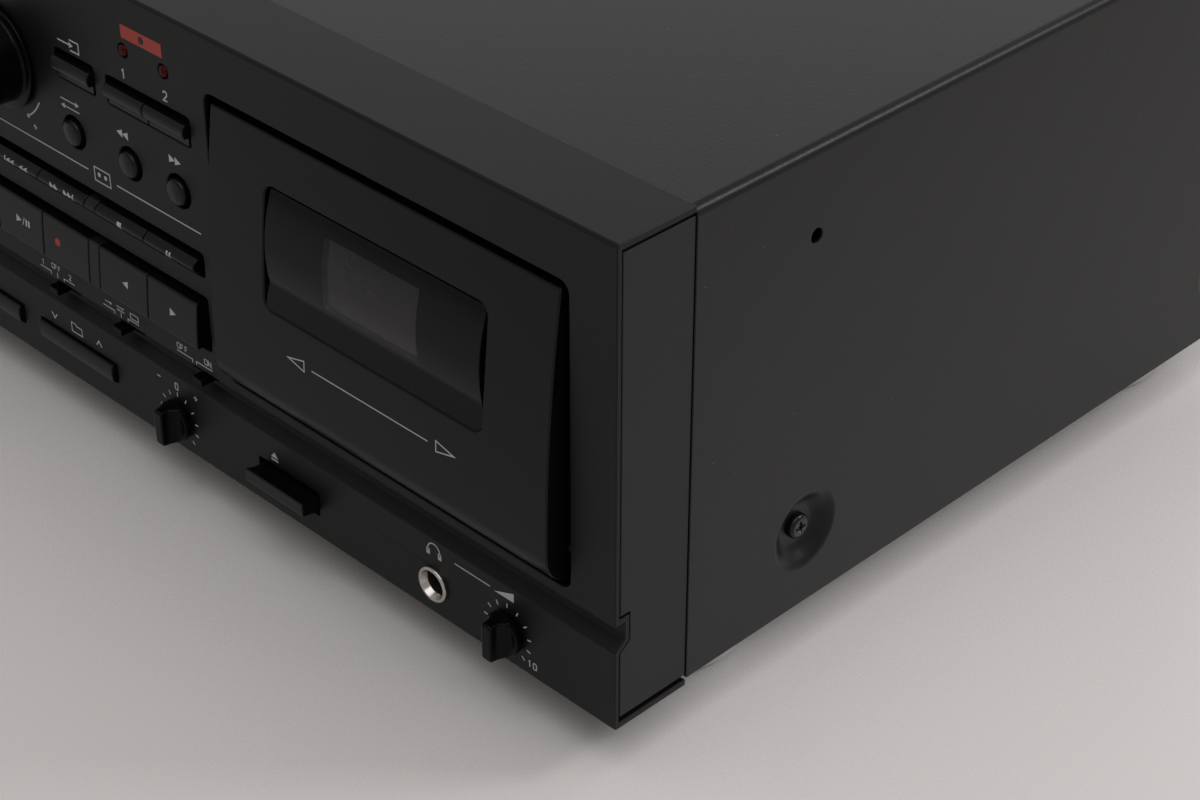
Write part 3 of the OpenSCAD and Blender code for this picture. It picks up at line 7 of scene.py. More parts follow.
# %% Load the frame
import json
from math import cos, pi, radians, sin
import bmesh
import bpy
import numpy as np
from mathutils import Matrix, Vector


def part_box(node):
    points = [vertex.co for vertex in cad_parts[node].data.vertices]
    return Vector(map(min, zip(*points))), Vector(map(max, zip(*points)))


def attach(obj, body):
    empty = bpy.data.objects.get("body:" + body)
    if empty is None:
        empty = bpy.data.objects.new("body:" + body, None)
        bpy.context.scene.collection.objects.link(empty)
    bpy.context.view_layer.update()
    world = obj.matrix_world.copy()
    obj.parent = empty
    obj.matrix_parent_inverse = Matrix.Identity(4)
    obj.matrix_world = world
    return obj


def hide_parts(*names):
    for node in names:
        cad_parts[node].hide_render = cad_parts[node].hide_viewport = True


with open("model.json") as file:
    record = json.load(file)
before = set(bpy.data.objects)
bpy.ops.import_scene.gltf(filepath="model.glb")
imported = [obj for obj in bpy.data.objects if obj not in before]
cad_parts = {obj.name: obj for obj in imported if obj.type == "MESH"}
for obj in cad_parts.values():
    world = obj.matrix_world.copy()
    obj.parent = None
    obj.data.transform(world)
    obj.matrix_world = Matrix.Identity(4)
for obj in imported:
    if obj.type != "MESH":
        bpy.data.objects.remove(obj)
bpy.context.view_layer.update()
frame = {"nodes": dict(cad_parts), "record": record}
MM = 0.001
scene = bpy.context.scene
scene.view_settings.view_transform = "Standard"
BODY_OF = {node: body for body, nodes in frame["record"]["behaviour"]["bodies"].items() for node in nodes}
SLOT_OF = {part["node"]: part["material_slot"] for part in frame["record"]["subparts"]}

# %% [markdown]
# The photograph is a close view of the right front corner from above. The camera was worked out
# from the panel's straight edges, so it is written as a distance from that corner and two angles.
# A camera's own axes are its right, its up and the direction behind it, the columns of its matrix.

# %% Camera
PANEL_LOW, PANEL_HIGH = [np.array(corner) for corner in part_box("front_panel")]
CAMERA_FROM_CORNER = np.array([331.9, -337.7, 410.3]) * MM
CAMERA_AZIMUTH = radians(44.936)
CAMERA_ELEVATION = radians(33.769)
CAMERA_ROLL = radians(0.128)
CAMERA_LENS = 79.45
CAMERA_SENSOR = 36.0
CAMERA_NEAR = 0.02


def camera_matrix(azimuth, elevation, roll, place):
    """Back is the unit vector at that azimuth and elevation, and right is level. The roll turns right
    and up about back."""
    back = np.array([sin(azimuth) * cos(elevation), -cos(azimuth) * cos(elevation), sin(elevation)])
    level = np.cross([0.0, 0.0, 1.0], back)
    level /= np.linalg.norm(level)
    above = np.cross(back, level)
    matrix = np.eye(4)
    matrix[:3, 0] = cos(roll) * level + sin(roll) * above
    matrix[:3, 1] = cos(roll) * above - sin(roll) * level
    matrix[:3, 2] = back
    matrix[:3, 3] = place
    return Matrix(matrix.tolist())


panel_corner = np.array([PANEL_HIGH[0], PANEL_LOW[1], PANEL_LOW[2]])
camera_data = bpy.data.cameras.new("photo_camera")
camera_data.lens = CAMERA_LENS
camera_data.sensor_width = CAMERA_SENSOR
camera_data.sensor_fit = "HORIZONTAL"
camera_data.clip_start = CAMERA_NEAR
camera = bpy.data.objects.new("photo_camera", camera_data)
camera.matrix_world = camera_matrix(
    CAMERA_AZIMUTH, CAMERA_ELEVATION, CAMERA_ROLL, panel_corner + CAMERA_FROM_CORNER)
scene.collection.objects.link(camera)
scene.camera = camera
print("camera at", np.round(np.array(camera.location), 3))

# %% [markdown]
# Every black surface here is only told apart by its sheen and its grain, so the finishes share
# two effects. The first varies tone, roughness and height at two scales, a coarse patchiness and
# a fine grain. The second scatters a little settled dust as pale specks. Each is a node group,
# built once, and each material sets its own values on it.

# %% Shared effects
def new_group(name, inputs, outputs):
    """A shader node group with named sockets: inputs are (name, kind, default), outputs are (name, kind)."""
    group = bpy.data.node_groups.new(name, "ShaderNodeTree")
    for label, kind, value in inputs:
        socket = group.interface.new_socket(label, in_out="INPUT", socket_type=kind)
        socket.default_value = value
    for label, kind in outputs:
        group.interface.new_socket(label, in_out="OUTPUT", socket_type=kind)
    return group, group.nodes.new("NodeGroupInput"), group.nodes.new("NodeGroupOutput")


MIX_SOCKETS = {"FLOAT": (2, 3, 0), "RGBA": (6, 7, 2)}


def mix(tree, kind, factor, first, second):
    """A Mix node on numbers or colours: first where factor is 0, second where it is 1. Its sockets for
    each kind share their names, so they are taken by number."""
    first_socket, second_socket, result = MIX_SOCKETS[kind]
    node = tree.nodes.new("ShaderNodeMix")
    node.data_type = kind
    tree.links.new(factor, node.inputs["Factor"])
    tree.links.new(first, node.inputs[first_socket])
    tree.links.new(second, node.inputs[second_socket])
    return node.outputs[result]


def object_noise(tree, scale, detail):
    """Noise on Object coordinates, whose scale comes from a socket in cycles per metre."""
    place = tree.nodes.new("ShaderNodeTexCoord")
    noise = tree.nodes.new("ShaderNodeTexNoise")
    noise.inputs["Detail"].default_value = detail
    tree.links.new(place.outputs["Object"], noise.inputs["Vector"])
    tree.links.new(scale, noise.inputs["Scale"])
    return noise.outputs["Fac"]


COLOUR = "NodeSocketColor"
VALUE = "NodeSocketFloat"
grain_group, grain_in, grain_out = new_group(
    "surface_grain",
    [("Dark Tone", COLOUR, (0.01, 0.01, 0.01, 1)), ("Pale Tone", COLOUR, (0.02, 0.02, 0.02, 1)),
     ("Smooth", VALUE, 0.4), ("Rough", VALUE, 0.5),
     ("Patch Scale", VALUE, 40.0), ("Grain Scale", VALUE, 1500.0)],
    [("Tone", COLOUR), ("Roughness", VALUE), ("Height", VALUE)])
patches = object_noise(grain_group, grain_in.outputs["Patch Scale"], detail=3.0)
grains = object_noise(grain_group, grain_in.outputs["Grain Scale"], detail=1.0)
tone = mix(grain_group, "RGBA", patches, grain_in.outputs["Dark Tone"], grain_in.outputs["Pale Tone"])
sheen = mix(grain_group, "FLOAT", grains, grain_in.outputs["Smooth"], grain_in.outputs["Rough"])
grain_group.links.new(tone, grain_out.inputs["Tone"])
grain_group.links.new(sheen, grain_out.inputs["Roughness"])
grain_group.links.new(grains, grain_out.inputs["Height"])

dust_group, dust_in, dust_out = new_group(
    "settled_dust",
    [("Tone", COLOUR, (0.02, 0.02, 0.02, 1)), ("Dust Tone", COLOUR, (0.1, 0.1, 0.1, 1)),
     ("Speck Size", VALUE, 0.08), ("Speck Scale", VALUE, 120.0)],
    [("Tone", COLOUR)])
dust_place = dust_group.nodes.new("ShaderNodeTexCoord")
cells = dust_group.nodes.new("ShaderNodeTexVoronoi")
specks = dust_group.nodes.new("ShaderNodeMath")
specks.operation = "LESS_THAN"
dust_group.links.new(dust_place.outputs["Object"], cells.inputs["Vector"])
dust_group.links.new(dust_in.outputs["Speck Scale"], cells.inputs["Scale"])
dust_group.links.new(cells.outputs["Distance"], specks.inputs[0])
dust_group.links.new(dust_in.outputs["Speck Size"], specks.inputs[1])
dusted = mix(dust_group, "RGBA", specks.outputs[0], dust_in.outputs["Tone"], dust_in.outputs["Dust Tone"])
dust_group.links.new(dusted, dust_out.inputs["Tone"])
print("groups:", [group.name for group in (grain_group, dust_group)])

# %% [markdown]
# A finish is a Principled shader fed by the grain group. Values that are the same all over, such
# as metallic or the specular level, are set on the shader's own sockets. Grey levels are linear, so a
# front that looks almost black on screen is under a hundredth, and most of what is seen of it is its
# sheen.

# %% Finishes
def grey(level, warm=0.0):
    """A linear grey, a little warm or cool."""
    return (level * (1 + warm), level, level * (1 - warm), 1.0)


def finish(name, dark, pale, rough, patch=40.0, grain=1500.0, bump=0.0, dust=0.0, **shader_values):
    """A material whose tone runs from dark to pale and its roughness over the rough pair. The scales are
    in cycles per metre, the bump is in millimetres, and dust is the size of a speck in its cell."""
    material = bpy.data.materials.new(name)
    material.use_nodes = True
    tree = material.node_tree
    shader = tree.nodes["Principled BSDF"]
    effect = tree.nodes.new("ShaderNodeGroup")
    effect.node_tree = grain_group
    for label, value in (("Dark Tone", dark), ("Pale Tone", pale), ("Smooth", rough[0]), ("Rough", rough[1]),
                         ("Patch Scale", patch), ("Grain Scale", grain)):
        effect.inputs[label].default_value = value
    tone_socket = effect.outputs["Tone"]
    if dust:
        specks_node = tree.nodes.new("ShaderNodeGroup")
        specks_node.node_tree = dust_group
        specks_node.inputs["Speck Size"].default_value = dust
        tree.links.new(tone_socket, specks_node.inputs["Tone"])
        tone_socket = specks_node.outputs["Tone"]
    tree.links.new(tone_socket, shader.inputs["Base Color"])
    tree.links.new(effect.outputs["Roughness"], shader.inputs["Roughness"])
    if bump:
        relief = tree.nodes.new("ShaderNodeBump")
        relief.inputs["Strength"].default_value = 1.0
        relief.inputs["Distance"].default_value = bump * MM
        tree.links.new(effect.outputs["Height"], relief.inputs["Height"])
        tree.links.new(relief.outputs["Normal"], shader.inputs["Normal"])
    for label, value in shader_values.items():
        shader.inputs[label.replace("_", " ")].default_value = value
    return material


FINISH = {}


def slot_finish(name, *tones, **values):
    """The finish of a material slot, kept under the slot's name."""
    FINISH[name] = finish(name, *tones, **values)


slot_finish("front_black", grey(0.0028), grey(0.0034), (0.42, 0.5), bump=0.004, dust=0.012,
            Specular_IOR_Level=0.21)
slot_finish("cover_grey", grey(0.003), grey(0.004), (0.34, 0.4), grain=1300, bump=0.03, dust=0.02,
            Specular_IOR_Level=0.24)
slot_finish("zinc_steel", grey(0.5), grey(0.62), (0.25, 0.4), patch=90, bump=0.003, Metallic=1.0)
slot_finish("black_screw", grey(0.003), grey(0.005), (0.2, 0.3), bump=0.004, Specular_IOR_Level=0.3)
slot_finish("frame_plastic", grey(0.0055), grey(0.0065), (0.45, 0.55), grain=2200, bump=0.012,
            Specular_IOR_Level=0.3)
slot_finish("key_plastic", grey(0.002), grey(0.0026), (0.3, 0.36), grain=2600, bump=0.004,
            Specular_IOR_Level=0.23)
slot_finish("knob_plastic", grey(0.0015), grey(0.002), (0.2, 0.26), grain=2600, bump=0.003,
            Specular_IOR_Level=0.1)
slot_finish("foot_plastic", grey(0.42), grey(0.5), (0.35, 0.45), bump=0.006)
slot_finish("display_glass", grey(0.003), grey(0.004), (0.05, 0.08))
slot_finish("nickel", grey(0.42, 0.06), grey(0.5, 0.06), (0.16, 0.26), patch=200, Metallic=1.0)
slot_finish("brass_jack", (0.7, 0.5, 0.2, 1), (0.8, 0.6, 0.28, 1), (0.2, 0.3), Metallic=1.0)
slot_finish("inlet_plastic", grey(0.01), grey(0.013), (0.45, 0.55), bump=0.01)
slot_finish("board_green", (0.01, 0.07, 0.025, 1), (0.015, 0.1, 0.04, 1), (0.3, 0.45), patch=120)
slot_finish("iron_core", grey(0.12), grey(0.2), (0.4, 0.6), patch=150, bump=0.02, Metallic=0.8)
slot_finish("white_plastic", grey(0.6), grey(0.68), (0.35, 0.45), bump=0.004)
slot_finish("mech_plastic", grey(0.012), grey(0.016), (0.4, 0.5), bump=0.008)
slot_finish("deck_black", grey(0.2), grey(0.25), (0.35, 0.5), patch=90, bump=0.004)
print("finishes:", sorted(FINISH))

# %% [markdown]
# The door's lens is smoked acrylic: clear, but each crossing takes half of the light. The lamps are
# red acrylic domes, glossy and nearly opaque when unlit. The door, the switches, the paint behind the
# lens and the bore of the jack share a slot with other pieces, but each has a black of its own.
# Screen-printed ink is flat and a little chalky, so it takes the grain group with no bump.

# %% Clear, coloured and printed finishes
slot_finish("smoked_glass", (0.48, 0.44, 0.5, 1), (0.51, 0.47, 0.53, 1), (0.02, 0.04),
            Transmission_Weight=1.0, IOR=1.3)
slot_finish("lamp_red", (0.04, 0.001, 0.001, 1), (0.055, 0.0015, 0.0015, 1), (0.04, 0.07),
            Specular_IOR_Level=0.1)
SWITCH_BLACK = finish("switch_black", grey(0.0015), grey(0.002), (0.28, 0.36), grain=2600, bump=0.003,
                      Specular_IOR_Level=0.07)
DOOR_BLACK = finish("door_black", grey(0.0016), grey(0.0022), (0.32, 0.38), grain=2600, bump=0.005,
                    Specular_IOR_Level=0.18)
BLACK_GLOSS = finish("black_gloss", grey(0.002), grey(0.003), (0.04, 0.07), Specular_IOR_Level=0.13)
PALE_PRINT = finish("pale_print", (0.33, 0.345, 0.37, 1), (0.4, 0.415, 0.44, 1), (0.5, 0.6), patch=300)
RED_PRINT = finish("red_print", (0.28, 0.022, 0.015, 1), (0.34, 0.028, 0.02, 1), (0.5, 0.6), patch=300)
JACK_BORE = finish("jack_bore", (0.006, 0.005, 0.004, 1), (0.035, 0.028, 0.022, 1), (0.4, 0.5), patch=1500)
MASK_INK = finish("mask_ink", grey(0.004), grey(0.006), (0.35, 0.45), Specular_IOR_Level=0.25)
print("own blacks:", [material.name for material in (SWITCH_BLACK, DOOR_BLACK, BLACK_GLOSS, JACK_BORE)])
print("inks:", [material.name for material in (PALE_PRINT, RED_PRINT, MASK_INK)])

# %% [markdown]
# Sheet metal and moulded plastic have no perfectly sharp edges: a fraction of a millimetre of
# rounding catches the light and is what makes a black box readable. The frame's meshes are loose
# triangles, so a copy of each visible piece is merged into whole faces and finished by a Bevel. The
# Weighted Normal after it lets the widest face at each point decide the shading, so that a flat sheet
# stays flat beside a pressed dimple.

# %% Rounded copies of the frame's pieces
EDGE_ANGLE = radians(28)
EDGE_SEGMENTS = 2
MERGE_NEAR = 0.002
FLAT_ANGLE = radians(0.4)


def smooth_between_edges(mesh, angle):
    """Smooth shading, with the edges that turn by more than the angle kept sharp."""
    mesh.polygons.foreach_set("use_smooth", np.ones(len(mesh.polygons), bool))
    mesh.set_sharp_from_angle(angle=angle)


def stand_for(piece, node):
    """Links a piece that stands for a frame node, on the node's body and in its slot."""
    scene.collection.objects.link(piece)
    piece.data.materials.append(FINISH[SLOT_OF[node]])
    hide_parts(node)
    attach(piece, BODY_OF[node])


def rounded_copy(node, width):
    """A merged copy of a frame node with its edges rounded to that width in millimetres."""
    work = bmesh.new()
    work.from_mesh(frame["nodes"][node].data)
    bmesh.ops.remove_doubles(work, verts=work.verts, dist=MERGE_NEAR * MM)
    bmesh.ops.dissolve_limit(work, angle_limit=FLAT_ANGLE, verts=work.verts, edges=work.edges)
    mesh = bpy.data.meshes.new(node + "_skin")
    work.to_mesh(mesh)
    work.free()
    smooth_between_edges(mesh, EDGE_ANGLE)
    piece = bpy.data.objects.new(node + "_skin", mesh)
    edge = piece.modifiers.new("edge", "BEVEL")
    edge.width = width * MM
    edge.segments = EDGE_SEGMENTS
    edge.limit_method = "ANGLE"
    edge.angle_limit = EDGE_ANGLE
    edge.use_clamp_overlap = False
    shading = piece.modifiers.new("shading", "WEIGHTED_NORMAL")
    shading.keep_sharp = True
    stand_for(piece, node)
    return piece


EDGE_WIDTH = {"front_panel": 0.3, "front_subframe": 0.25, "top_cover": 0.2, "cassette_door": 0.4,
              "door_window": 0.12, "tray_front": 0.3, "cover_screws": 0.12, "phones_jack": 0.12,
              "pitch_knob": 0.4, "level_knob": 0.4, "feet": 0.3, "rear_panel": 0.15,
              "mains_inlet": 0.3, "line_jacks": 0.15, "display_window": 0.15, "usb_port": 0.1}
KEY_EDGE = 0.25
key_nodes = [node for node in frame["nodes"] if node.endswith(("_button", "_switch", "_rocker"))]
EDGE_WIDTH.update({node: KEY_EDGE for node in key_nodes})
skins = {node: rounded_copy(node, width) for node, width in EDGE_WIDTH.items()}
skins["cassette_door"].data.materials[0] = DOOR_BLACK
for node in ("timer_switch", "reverse_switch", "noise_switch"):
    skins[node].data.materials[0] = SWITCH_BLACK
print("rounded:", len(skins), "pieces")

# %% [markdown]
# The pieces inside the case keep the frame's own mesh. They show only through the vents, the open
# door and the open tray, so a finish is all that they need.

# %% Plain frame nodes take a finish
for node, thing in frame["nodes"].items():
    thing.data.materials.clear()
    thing.data.materials.append(FINISH[SLOT_OF[node]])
print("dressed:", len(frame["nodes"]), "nodes")

# %% [markdown]
# From here on, places on the front are written as on a panel drawing: x in millimetres from the
# middle, y back from the front face, and z up from the panel's foot. One function turns arrays of
# them into metres in the frame.

# %% Panel drawing coordinates
def from_panel(x, y, z):
    """Rows of frame points in metres, for arrays of panel drawing millimetres."""
    x, y, z = np.broadcast_arrays(x, y, z)
    return np.stack([x * MM, PANEL_LOW[1] + y * MM, PANEL_LOW[2] + z * MM], axis=-1).reshape(-1, 3)


def to_panel(points):
    """Panel drawing millimetres of rows of frame points, the other way round."""
    return (points - [0.0, PANEL_LOW[1], PANEL_LOW[2]]) / MM


def panel_box(node):
    """The lowest and highest corner of a frame node in panel drawing millimetres."""
    return to_panel(np.array([list(corner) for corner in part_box(node)]))


print("jog knob on the drawing:", panel_box("jog_knob").round(1).tolist())

# %% [markdown]
# The door's lens is one smoked moulding, painted black from behind but for one clear rectangle, the
# view on the tape. Cutting the merged mesh along the rectangle's four edges leaves its outline as
# whole faces, so each face can be told by its middle and takes clear or black.

# %% Door lens
DOOR_RADIUS = 470.0
DOOR_PROUD = 5.2
HINGE_Z = 43.6
LENS_OUT = 0.55
LENS_SAG = 1.75
LENS_LOW = 74.34
LENS_TOP = 100.15
LENS_THICK = 1.6
CLEAR_X = (123.0, 156.4)
CLEAR_Z = (76.6, 96.0)
ON_FACE = 0.1
CUT_NEAR = 1e-7


def door_face(z):
    """Depth of the door's face: a circle of the door's radius, furthest out at the hinge height."""
    return DOOR_RADIUS - DOOR_PROUD - np.sqrt(DOOR_RADIUS ** 2 - (z - HINGE_Z) ** 2)


def lens_face(z):
    """Depth of the lens: the door's curve less the crown, falling by the sag as the square of the height."""
    middle, half = (LENS_TOP + LENS_LOW) / 2, (LENS_TOP - LENS_LOW) / 2
    return door_face(z) - LENS_OUT + LENS_SAG * ((z - middle) / half) ** 2


def paint_faces(piece, chosen, material):
    """Gives the faces where chosen is true a second material."""
    piece.data.materials.append(material)
    piece.data.polygons.foreach_set("material_index", chosen.astype(np.int32))


def face_centres(piece):
    """Panel drawing millimetres of the middle of each face."""
    flat = np.empty(3 * len(piece.data.polygons))
    piece.data.polygons.foreach_get("center", flat)
    return to_panel(flat.reshape(-1, 3)).T


def cut_faces(mesh, axis, places):
    """Cuts a mesh by each plane where a panel drawing coordinate has one of those values."""
    work = bmesh.new()
    work.from_mesh(mesh)
    normal = np.eye(3)[axis]
    for place in places:
        bmesh.ops.bisect_plane(work, geom=work.verts[:] + work.edges[:] + work.faces[:], dist=CUT_NEAR,
                               plane_co=from_panel(*(normal * place))[0], plane_no=normal)
    work.to_mesh(mesh)
    work.free()


lens = skins["door_window"]
cut_faces(lens.data, 0, CLEAR_X)
cut_faces(lens.data, 2, CLEAR_Z)
lens_x, lens_y, lens_z = face_centres(lens)
over_lens = lens_y - lens_face(lens_z)
is_clear = (np.abs(over_lens) < ON_FACE) | (np.abs(over_lens - LENS_THICK) < ON_FACE)
for values, (low_edge, high_edge) in ((lens_x, CLEAR_X), (lens_z, CLEAR_Z)):
    is_clear &= (values > low_edge) & (values < high_edge)
paint_faces(lens, ~is_clear, BLACK_GLOSS)
print("clear lens faces:", int(is_clear.sum()), "of", len(is_clear))

# %% [markdown]
# The headphone jack is one piece with a plated ring and a dark bore. No cut is needed here: the
# bore's faces are the ones that lie within its radius and behind the ring.

# %% Headphone bore
JACK_RING_DEPTH = 0.5
JACK_BORE_R = 3.3
jack_x, _, jack_z = panel_box("phones_jack").mean(axis=0)
bore_x, bore_y, bore_z = face_centres(skins["phones_jack"])
in_bore = (np.hypot(bore_x - jack_x, bore_z - jack_z) < JACK_BORE_R) & (bore_y > JACK_RING_DEPTH)
paint_faces(skins["phones_jack"], in_bore, JACK_BORE)
print("dark bore faces:", int(in_bore.sum()), "of", len(in_bore))

# %% [markdown]
# The jog knob, the lamps and the screws are turned pieces: a profile of radius and depth is carried
# round an axis. A Screw modifier could turn the profile too, but a grid of points is exact, takes
# several axes at once, and closes because its last column joins the first.

# %% Turned surfaces
TURNED_ANGLE = radians(40)


def turned_mesh(name, profile, centres, steps, relief=None):
    """A surface of revolution for each centre. Point (i, j) is the profile's radius r[i] at the angle
    2 pi j / steps: x = cx + r cos, z = cz + r sin, and y is the profile's depth, so the profile runs from
    the axis to the axis. A relief is a function of the two offsets from the axis, added to the depth."""
    radius, depth = np.array(profile, float).T
    angle = np.arange(steps) * 2 * pi / steps
    across, up = radius[1:-1, None] * np.cos(angle), radius[1:-1, None] * np.sin(angle)
    y = depth[1:-1, None] + (relief(across, up) if relief else 0.0)
    verts = [from_panel(cx + across, y, cz + up) for cx, cz in centres]
    ends = [from_panel(cx, depth[[0, -1]], cz) for cx, cz in centres]
    rows = len(radius) - 2
    ring = np.arange(rows * steps).reshape(rows, steps)
    after = np.roll(ring, -1, axis=1)
    skin = np.stack([ring[:-1], ring[1:], after[1:], after[:-1]], axis=-1).reshape(-1, 4)
    front = np.stack([np.full(steps, rows * steps), ring[0], after[0]], axis=1)
    back = np.stack([np.full(steps, rows * steps + 1), after[-1], ring[-1]], axis=1)
    block = rows * steps + 2
    faces = []
    for turn in range(len(centres)):
        for part in (skin, front, back):
            faces += (part + turn * block).tolist()
    mesh = bpy.data.meshes.new(name)
    mesh.from_pydata(np.vstack([np.vstack(pair) for pair in zip(verts, ends)]).tolist(), [], faces)
    smooth_between_edges(mesh, TURNED_ANGLE)
    return mesh


def arc_profile(radius, depth, size, start, stop, count):
    """Points of a circular arc in a profile, from one angle in degrees to another."""
    angle = np.radians(np.linspace(start, stop, count))
    return np.stack([radius + size * np.cos(angle), depth + size * np.sin(angle)], axis=1).tolist()


def turned_piece(node, profile, centres, steps):
    """A turned mesh that stands for a frame node."""
    mesh = turned_mesh(node + "_turned", profile, centres, steps)
    stand_for(bpy.data.objects.new(node + "_turned", mesh), node)


print("turned pieces keep edges over", round(np.degrees(TURNED_ANGLE)), "degrees")

# %% [markdown]
# The jog knob is a plain cup with a shallow dish in its front, a soft front edge, and a skirt at its
# foot that it runs into with a fillet. Radii count inwards from the cup and the skirt, and depths
# back from the knob's front or from the panel's face.

# %% Jog knob
JOG_SKIRT = 2.4
JOG_DISH_DEEP = 1.4
JOG_DISH = ((8.0, 1.3), (5.0, 1.15), (3.4, 0.6))
JOG_EDGE = 1.2
JOG_EDGE_IN = 1.5
JOG_FILLET = 0.9
JOG_FILLET_Y = -2.6
SKIRT_EDGE = ((0.3, -1.6), (0.08, -1.5), (0.0, -1.3))
SKIRT_BACK = -0.8
JOG_SHAFT_R = 3.0
JOG_STEPS = 96
jog_low, jog_high = panel_box("jog_knob")
jog_x, jog_z = (jog_low[0] + jog_high[0]) / 2, (jog_low[2] + jog_high[2]) / 2
jog_front, jog_back = jog_low[1], jog_high[1]
skirt_r = (jog_high[0] - jog_low[0]) / 2
jog_r = skirt_r - JOG_SKIRT
jog_profile = [[0, jog_front + JOG_DISH_DEEP]]
jog_profile += [[jog_r - inset, jog_front + deep] for inset, deep in JOG_DISH]
jog_profile += arc_profile(jog_r - JOG_EDGE_IN, jog_front + JOG_EDGE, JOG_EDGE, 235, 360, 9)
jog_profile += arc_profile(jog_r + JOG_FILLET, JOG_FILLET_Y, JOG_FILLET, 180, 90, 6)
jog_profile += [[skirt_r - inset, y] for inset, y in SKIRT_EDGE]
jog_profile += [[skirt_r, SKIRT_BACK], [JOG_SHAFT_R, SKIRT_BACK], [JOG_SHAFT_R, jog_back], [0, jog_back]]
turned_piece("jog_knob", jog_profile, [(jog_x, jog_z)], JOG_STEPS)
print("jog radius:", round(jog_r, 2), "skirt radius:", round(skirt_r, 2))

# %% [markdown]
# The two record lamps are the ends of round light pipes. Each is a low dome, an arc a little wider
# than the pipe, on a straight cylinder that goes back through the panel.

# %% Record lamps
DOME_WIDER = 0.3
LAMP_COLLAR_Y = 0.4
LAMP_STEPS = 40
lamp_low, lamp_high = panel_box("record_lamps")
lamp_r = (lamp_high[2] - lamp_low[2]) / 2
lamp_z = (lamp_low[2] + lamp_high[2]) / 2
lamp_xs = (lamp_low[0] + lamp_r, lamp_high[0] - lamp_r)
dome_r = lamp_r + DOME_WIDER
lamp_profile = arc_profile(0, lamp_low[1] + dome_r, dome_r, 270, 325, 8)
lamp_profile += [[lamp_r, LAMP_COLLAR_Y], [lamp_r, lamp_high[1]], [0, lamp_high[1]]]
turned_piece("record_lamps", lamp_profile, [(x, lamp_z) for x in lamp_xs], LAMP_STEPS)
print("lamp radius:", round(lamp_r, 2))

# %% [markdown]
# The rear panel is held by small pan-head screws along its edges and beside the line sockets. A head
# is turned like the lamps. Its cross recess could be a Boolean cut, but a relief is simpler: the depth
# of two crossed slots with sloping walls, taken from the turned crown.

# %% Rear screws
SCREW_R = 2.9
SCREW_RIM = 0.5
SCREW_CROWN = 1.6
SCREW_ROOT = 0.3
SCREW_STEPS = 64
CROWN_ROWS = 22
RECESS_DEEP = 0.9
RECESS_ARM = 1.75
RECESS_HALF = 0.42
RECESS_SLOPE = 0.3
SCREW_XS = (-195, -65, 65, 195)
SCREW_ZS = (8.0, 121.0)
SOCKET_SCREW = 19.0


def slot_reach(along, across):
    """How far a point lies outside one slot, or less than 0 inside it."""
    return np.maximum(np.abs(along) - RECESS_ARM, np.abs(across) - RECESS_HALF)


def cross_recess(across, up):
    """Minus the recess depth inside either slot, rising to 0 over the slope outside of it."""
    reach = np.minimum(slot_reach(across, up), slot_reach(up, across))
    return -RECESS_DEEP * np.clip(1 - reach / RECESS_SLOPE, 0, 1)


rear_y = panel_box("rear_panel")[1, 1]
crown_r = np.linspace(SCREW_R, 0.0, CROWN_ROWS)
crown_y = rear_y + SCREW_RIM + (SCREW_CROWN - SCREW_RIM) * np.sqrt(1 - (crown_r / SCREW_R) ** 2)
crown_y[-1] -= RECESS_DEEP
screw_profile = [[0, rear_y - SCREW_ROOT], [SCREW_R, rear_y - SCREW_ROOT]]
screw_profile += np.stack([crown_r, crown_y], axis=1).tolist()
socket_x, _, socket_z = panel_box("line_jacks").mean(axis=0)
screw_places = [(x, z) for z in SCREW_ZS for x in SCREW_XS]
screw_places += [(socket_x + side * SOCKET_SCREW, socket_z) for side in (-1, 1)]
screw_mesh = turned_mesh("rear_screws", screw_profile, screw_places, SCREW_STEPS, cross_recess)
screws = bpy.data.objects.new("rear_screws", screw_mesh)
screw_mesh.materials.append(FINISH["black_screw"])
scene.collection.objects.link(screws)
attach(screws, "case")
print("rear screws:", len(screw_places))

# %% [markdown]
# The printing on the front is ink a few hundredths of a millimetre thick. Each mark is a flat shape
# on the drawing: a plate is one polygon, and a line is a band of quads along a path, mitred at its
# corners. The marks are common transport signs, plain numbers, scales and rules.

# %% Shapes of printed marks
INK = 0.05
INK_ROOT = 0.02


def plate(points):
    """One polygon, turned the right way round: its signed area is half the sum of x0 z1 - x1 z0."""
    points = np.array(points, float)
    x, z = points.T
    if np.sum(x * np.roll(z, -1) - np.roll(x, -1) * z) < 0:
        points = points[::-1]
    return points, [list(range(len(points)))], [np.arange(len(points))]


def bar(x0, z0, x1, z1):
    """An upright rectangle."""
    return plate([(x0, z0), (x1, z0), (x1, z1), (x0, z1)])


def wedge(x, z, width, height):
    """A triangle with its upright base at x and its tip at x + width, so a minus width points left."""
    return plate([(x, z - height / 2), (x + width, z), (x, z + height / 2)])


def dot(x, z, radius):
    """A filled circle."""
    return plate(circle_path(x, z, radius, 0, 345, 24))


def circle_path(x, z, radius, start, stop, count):
    """Points round a circle from one angle in degrees to another."""
    angle = np.radians(np.linspace(start, stop, count))
    return np.stack([x + radius * np.cos(angle), z + radius * np.sin(angle)], axis=1)


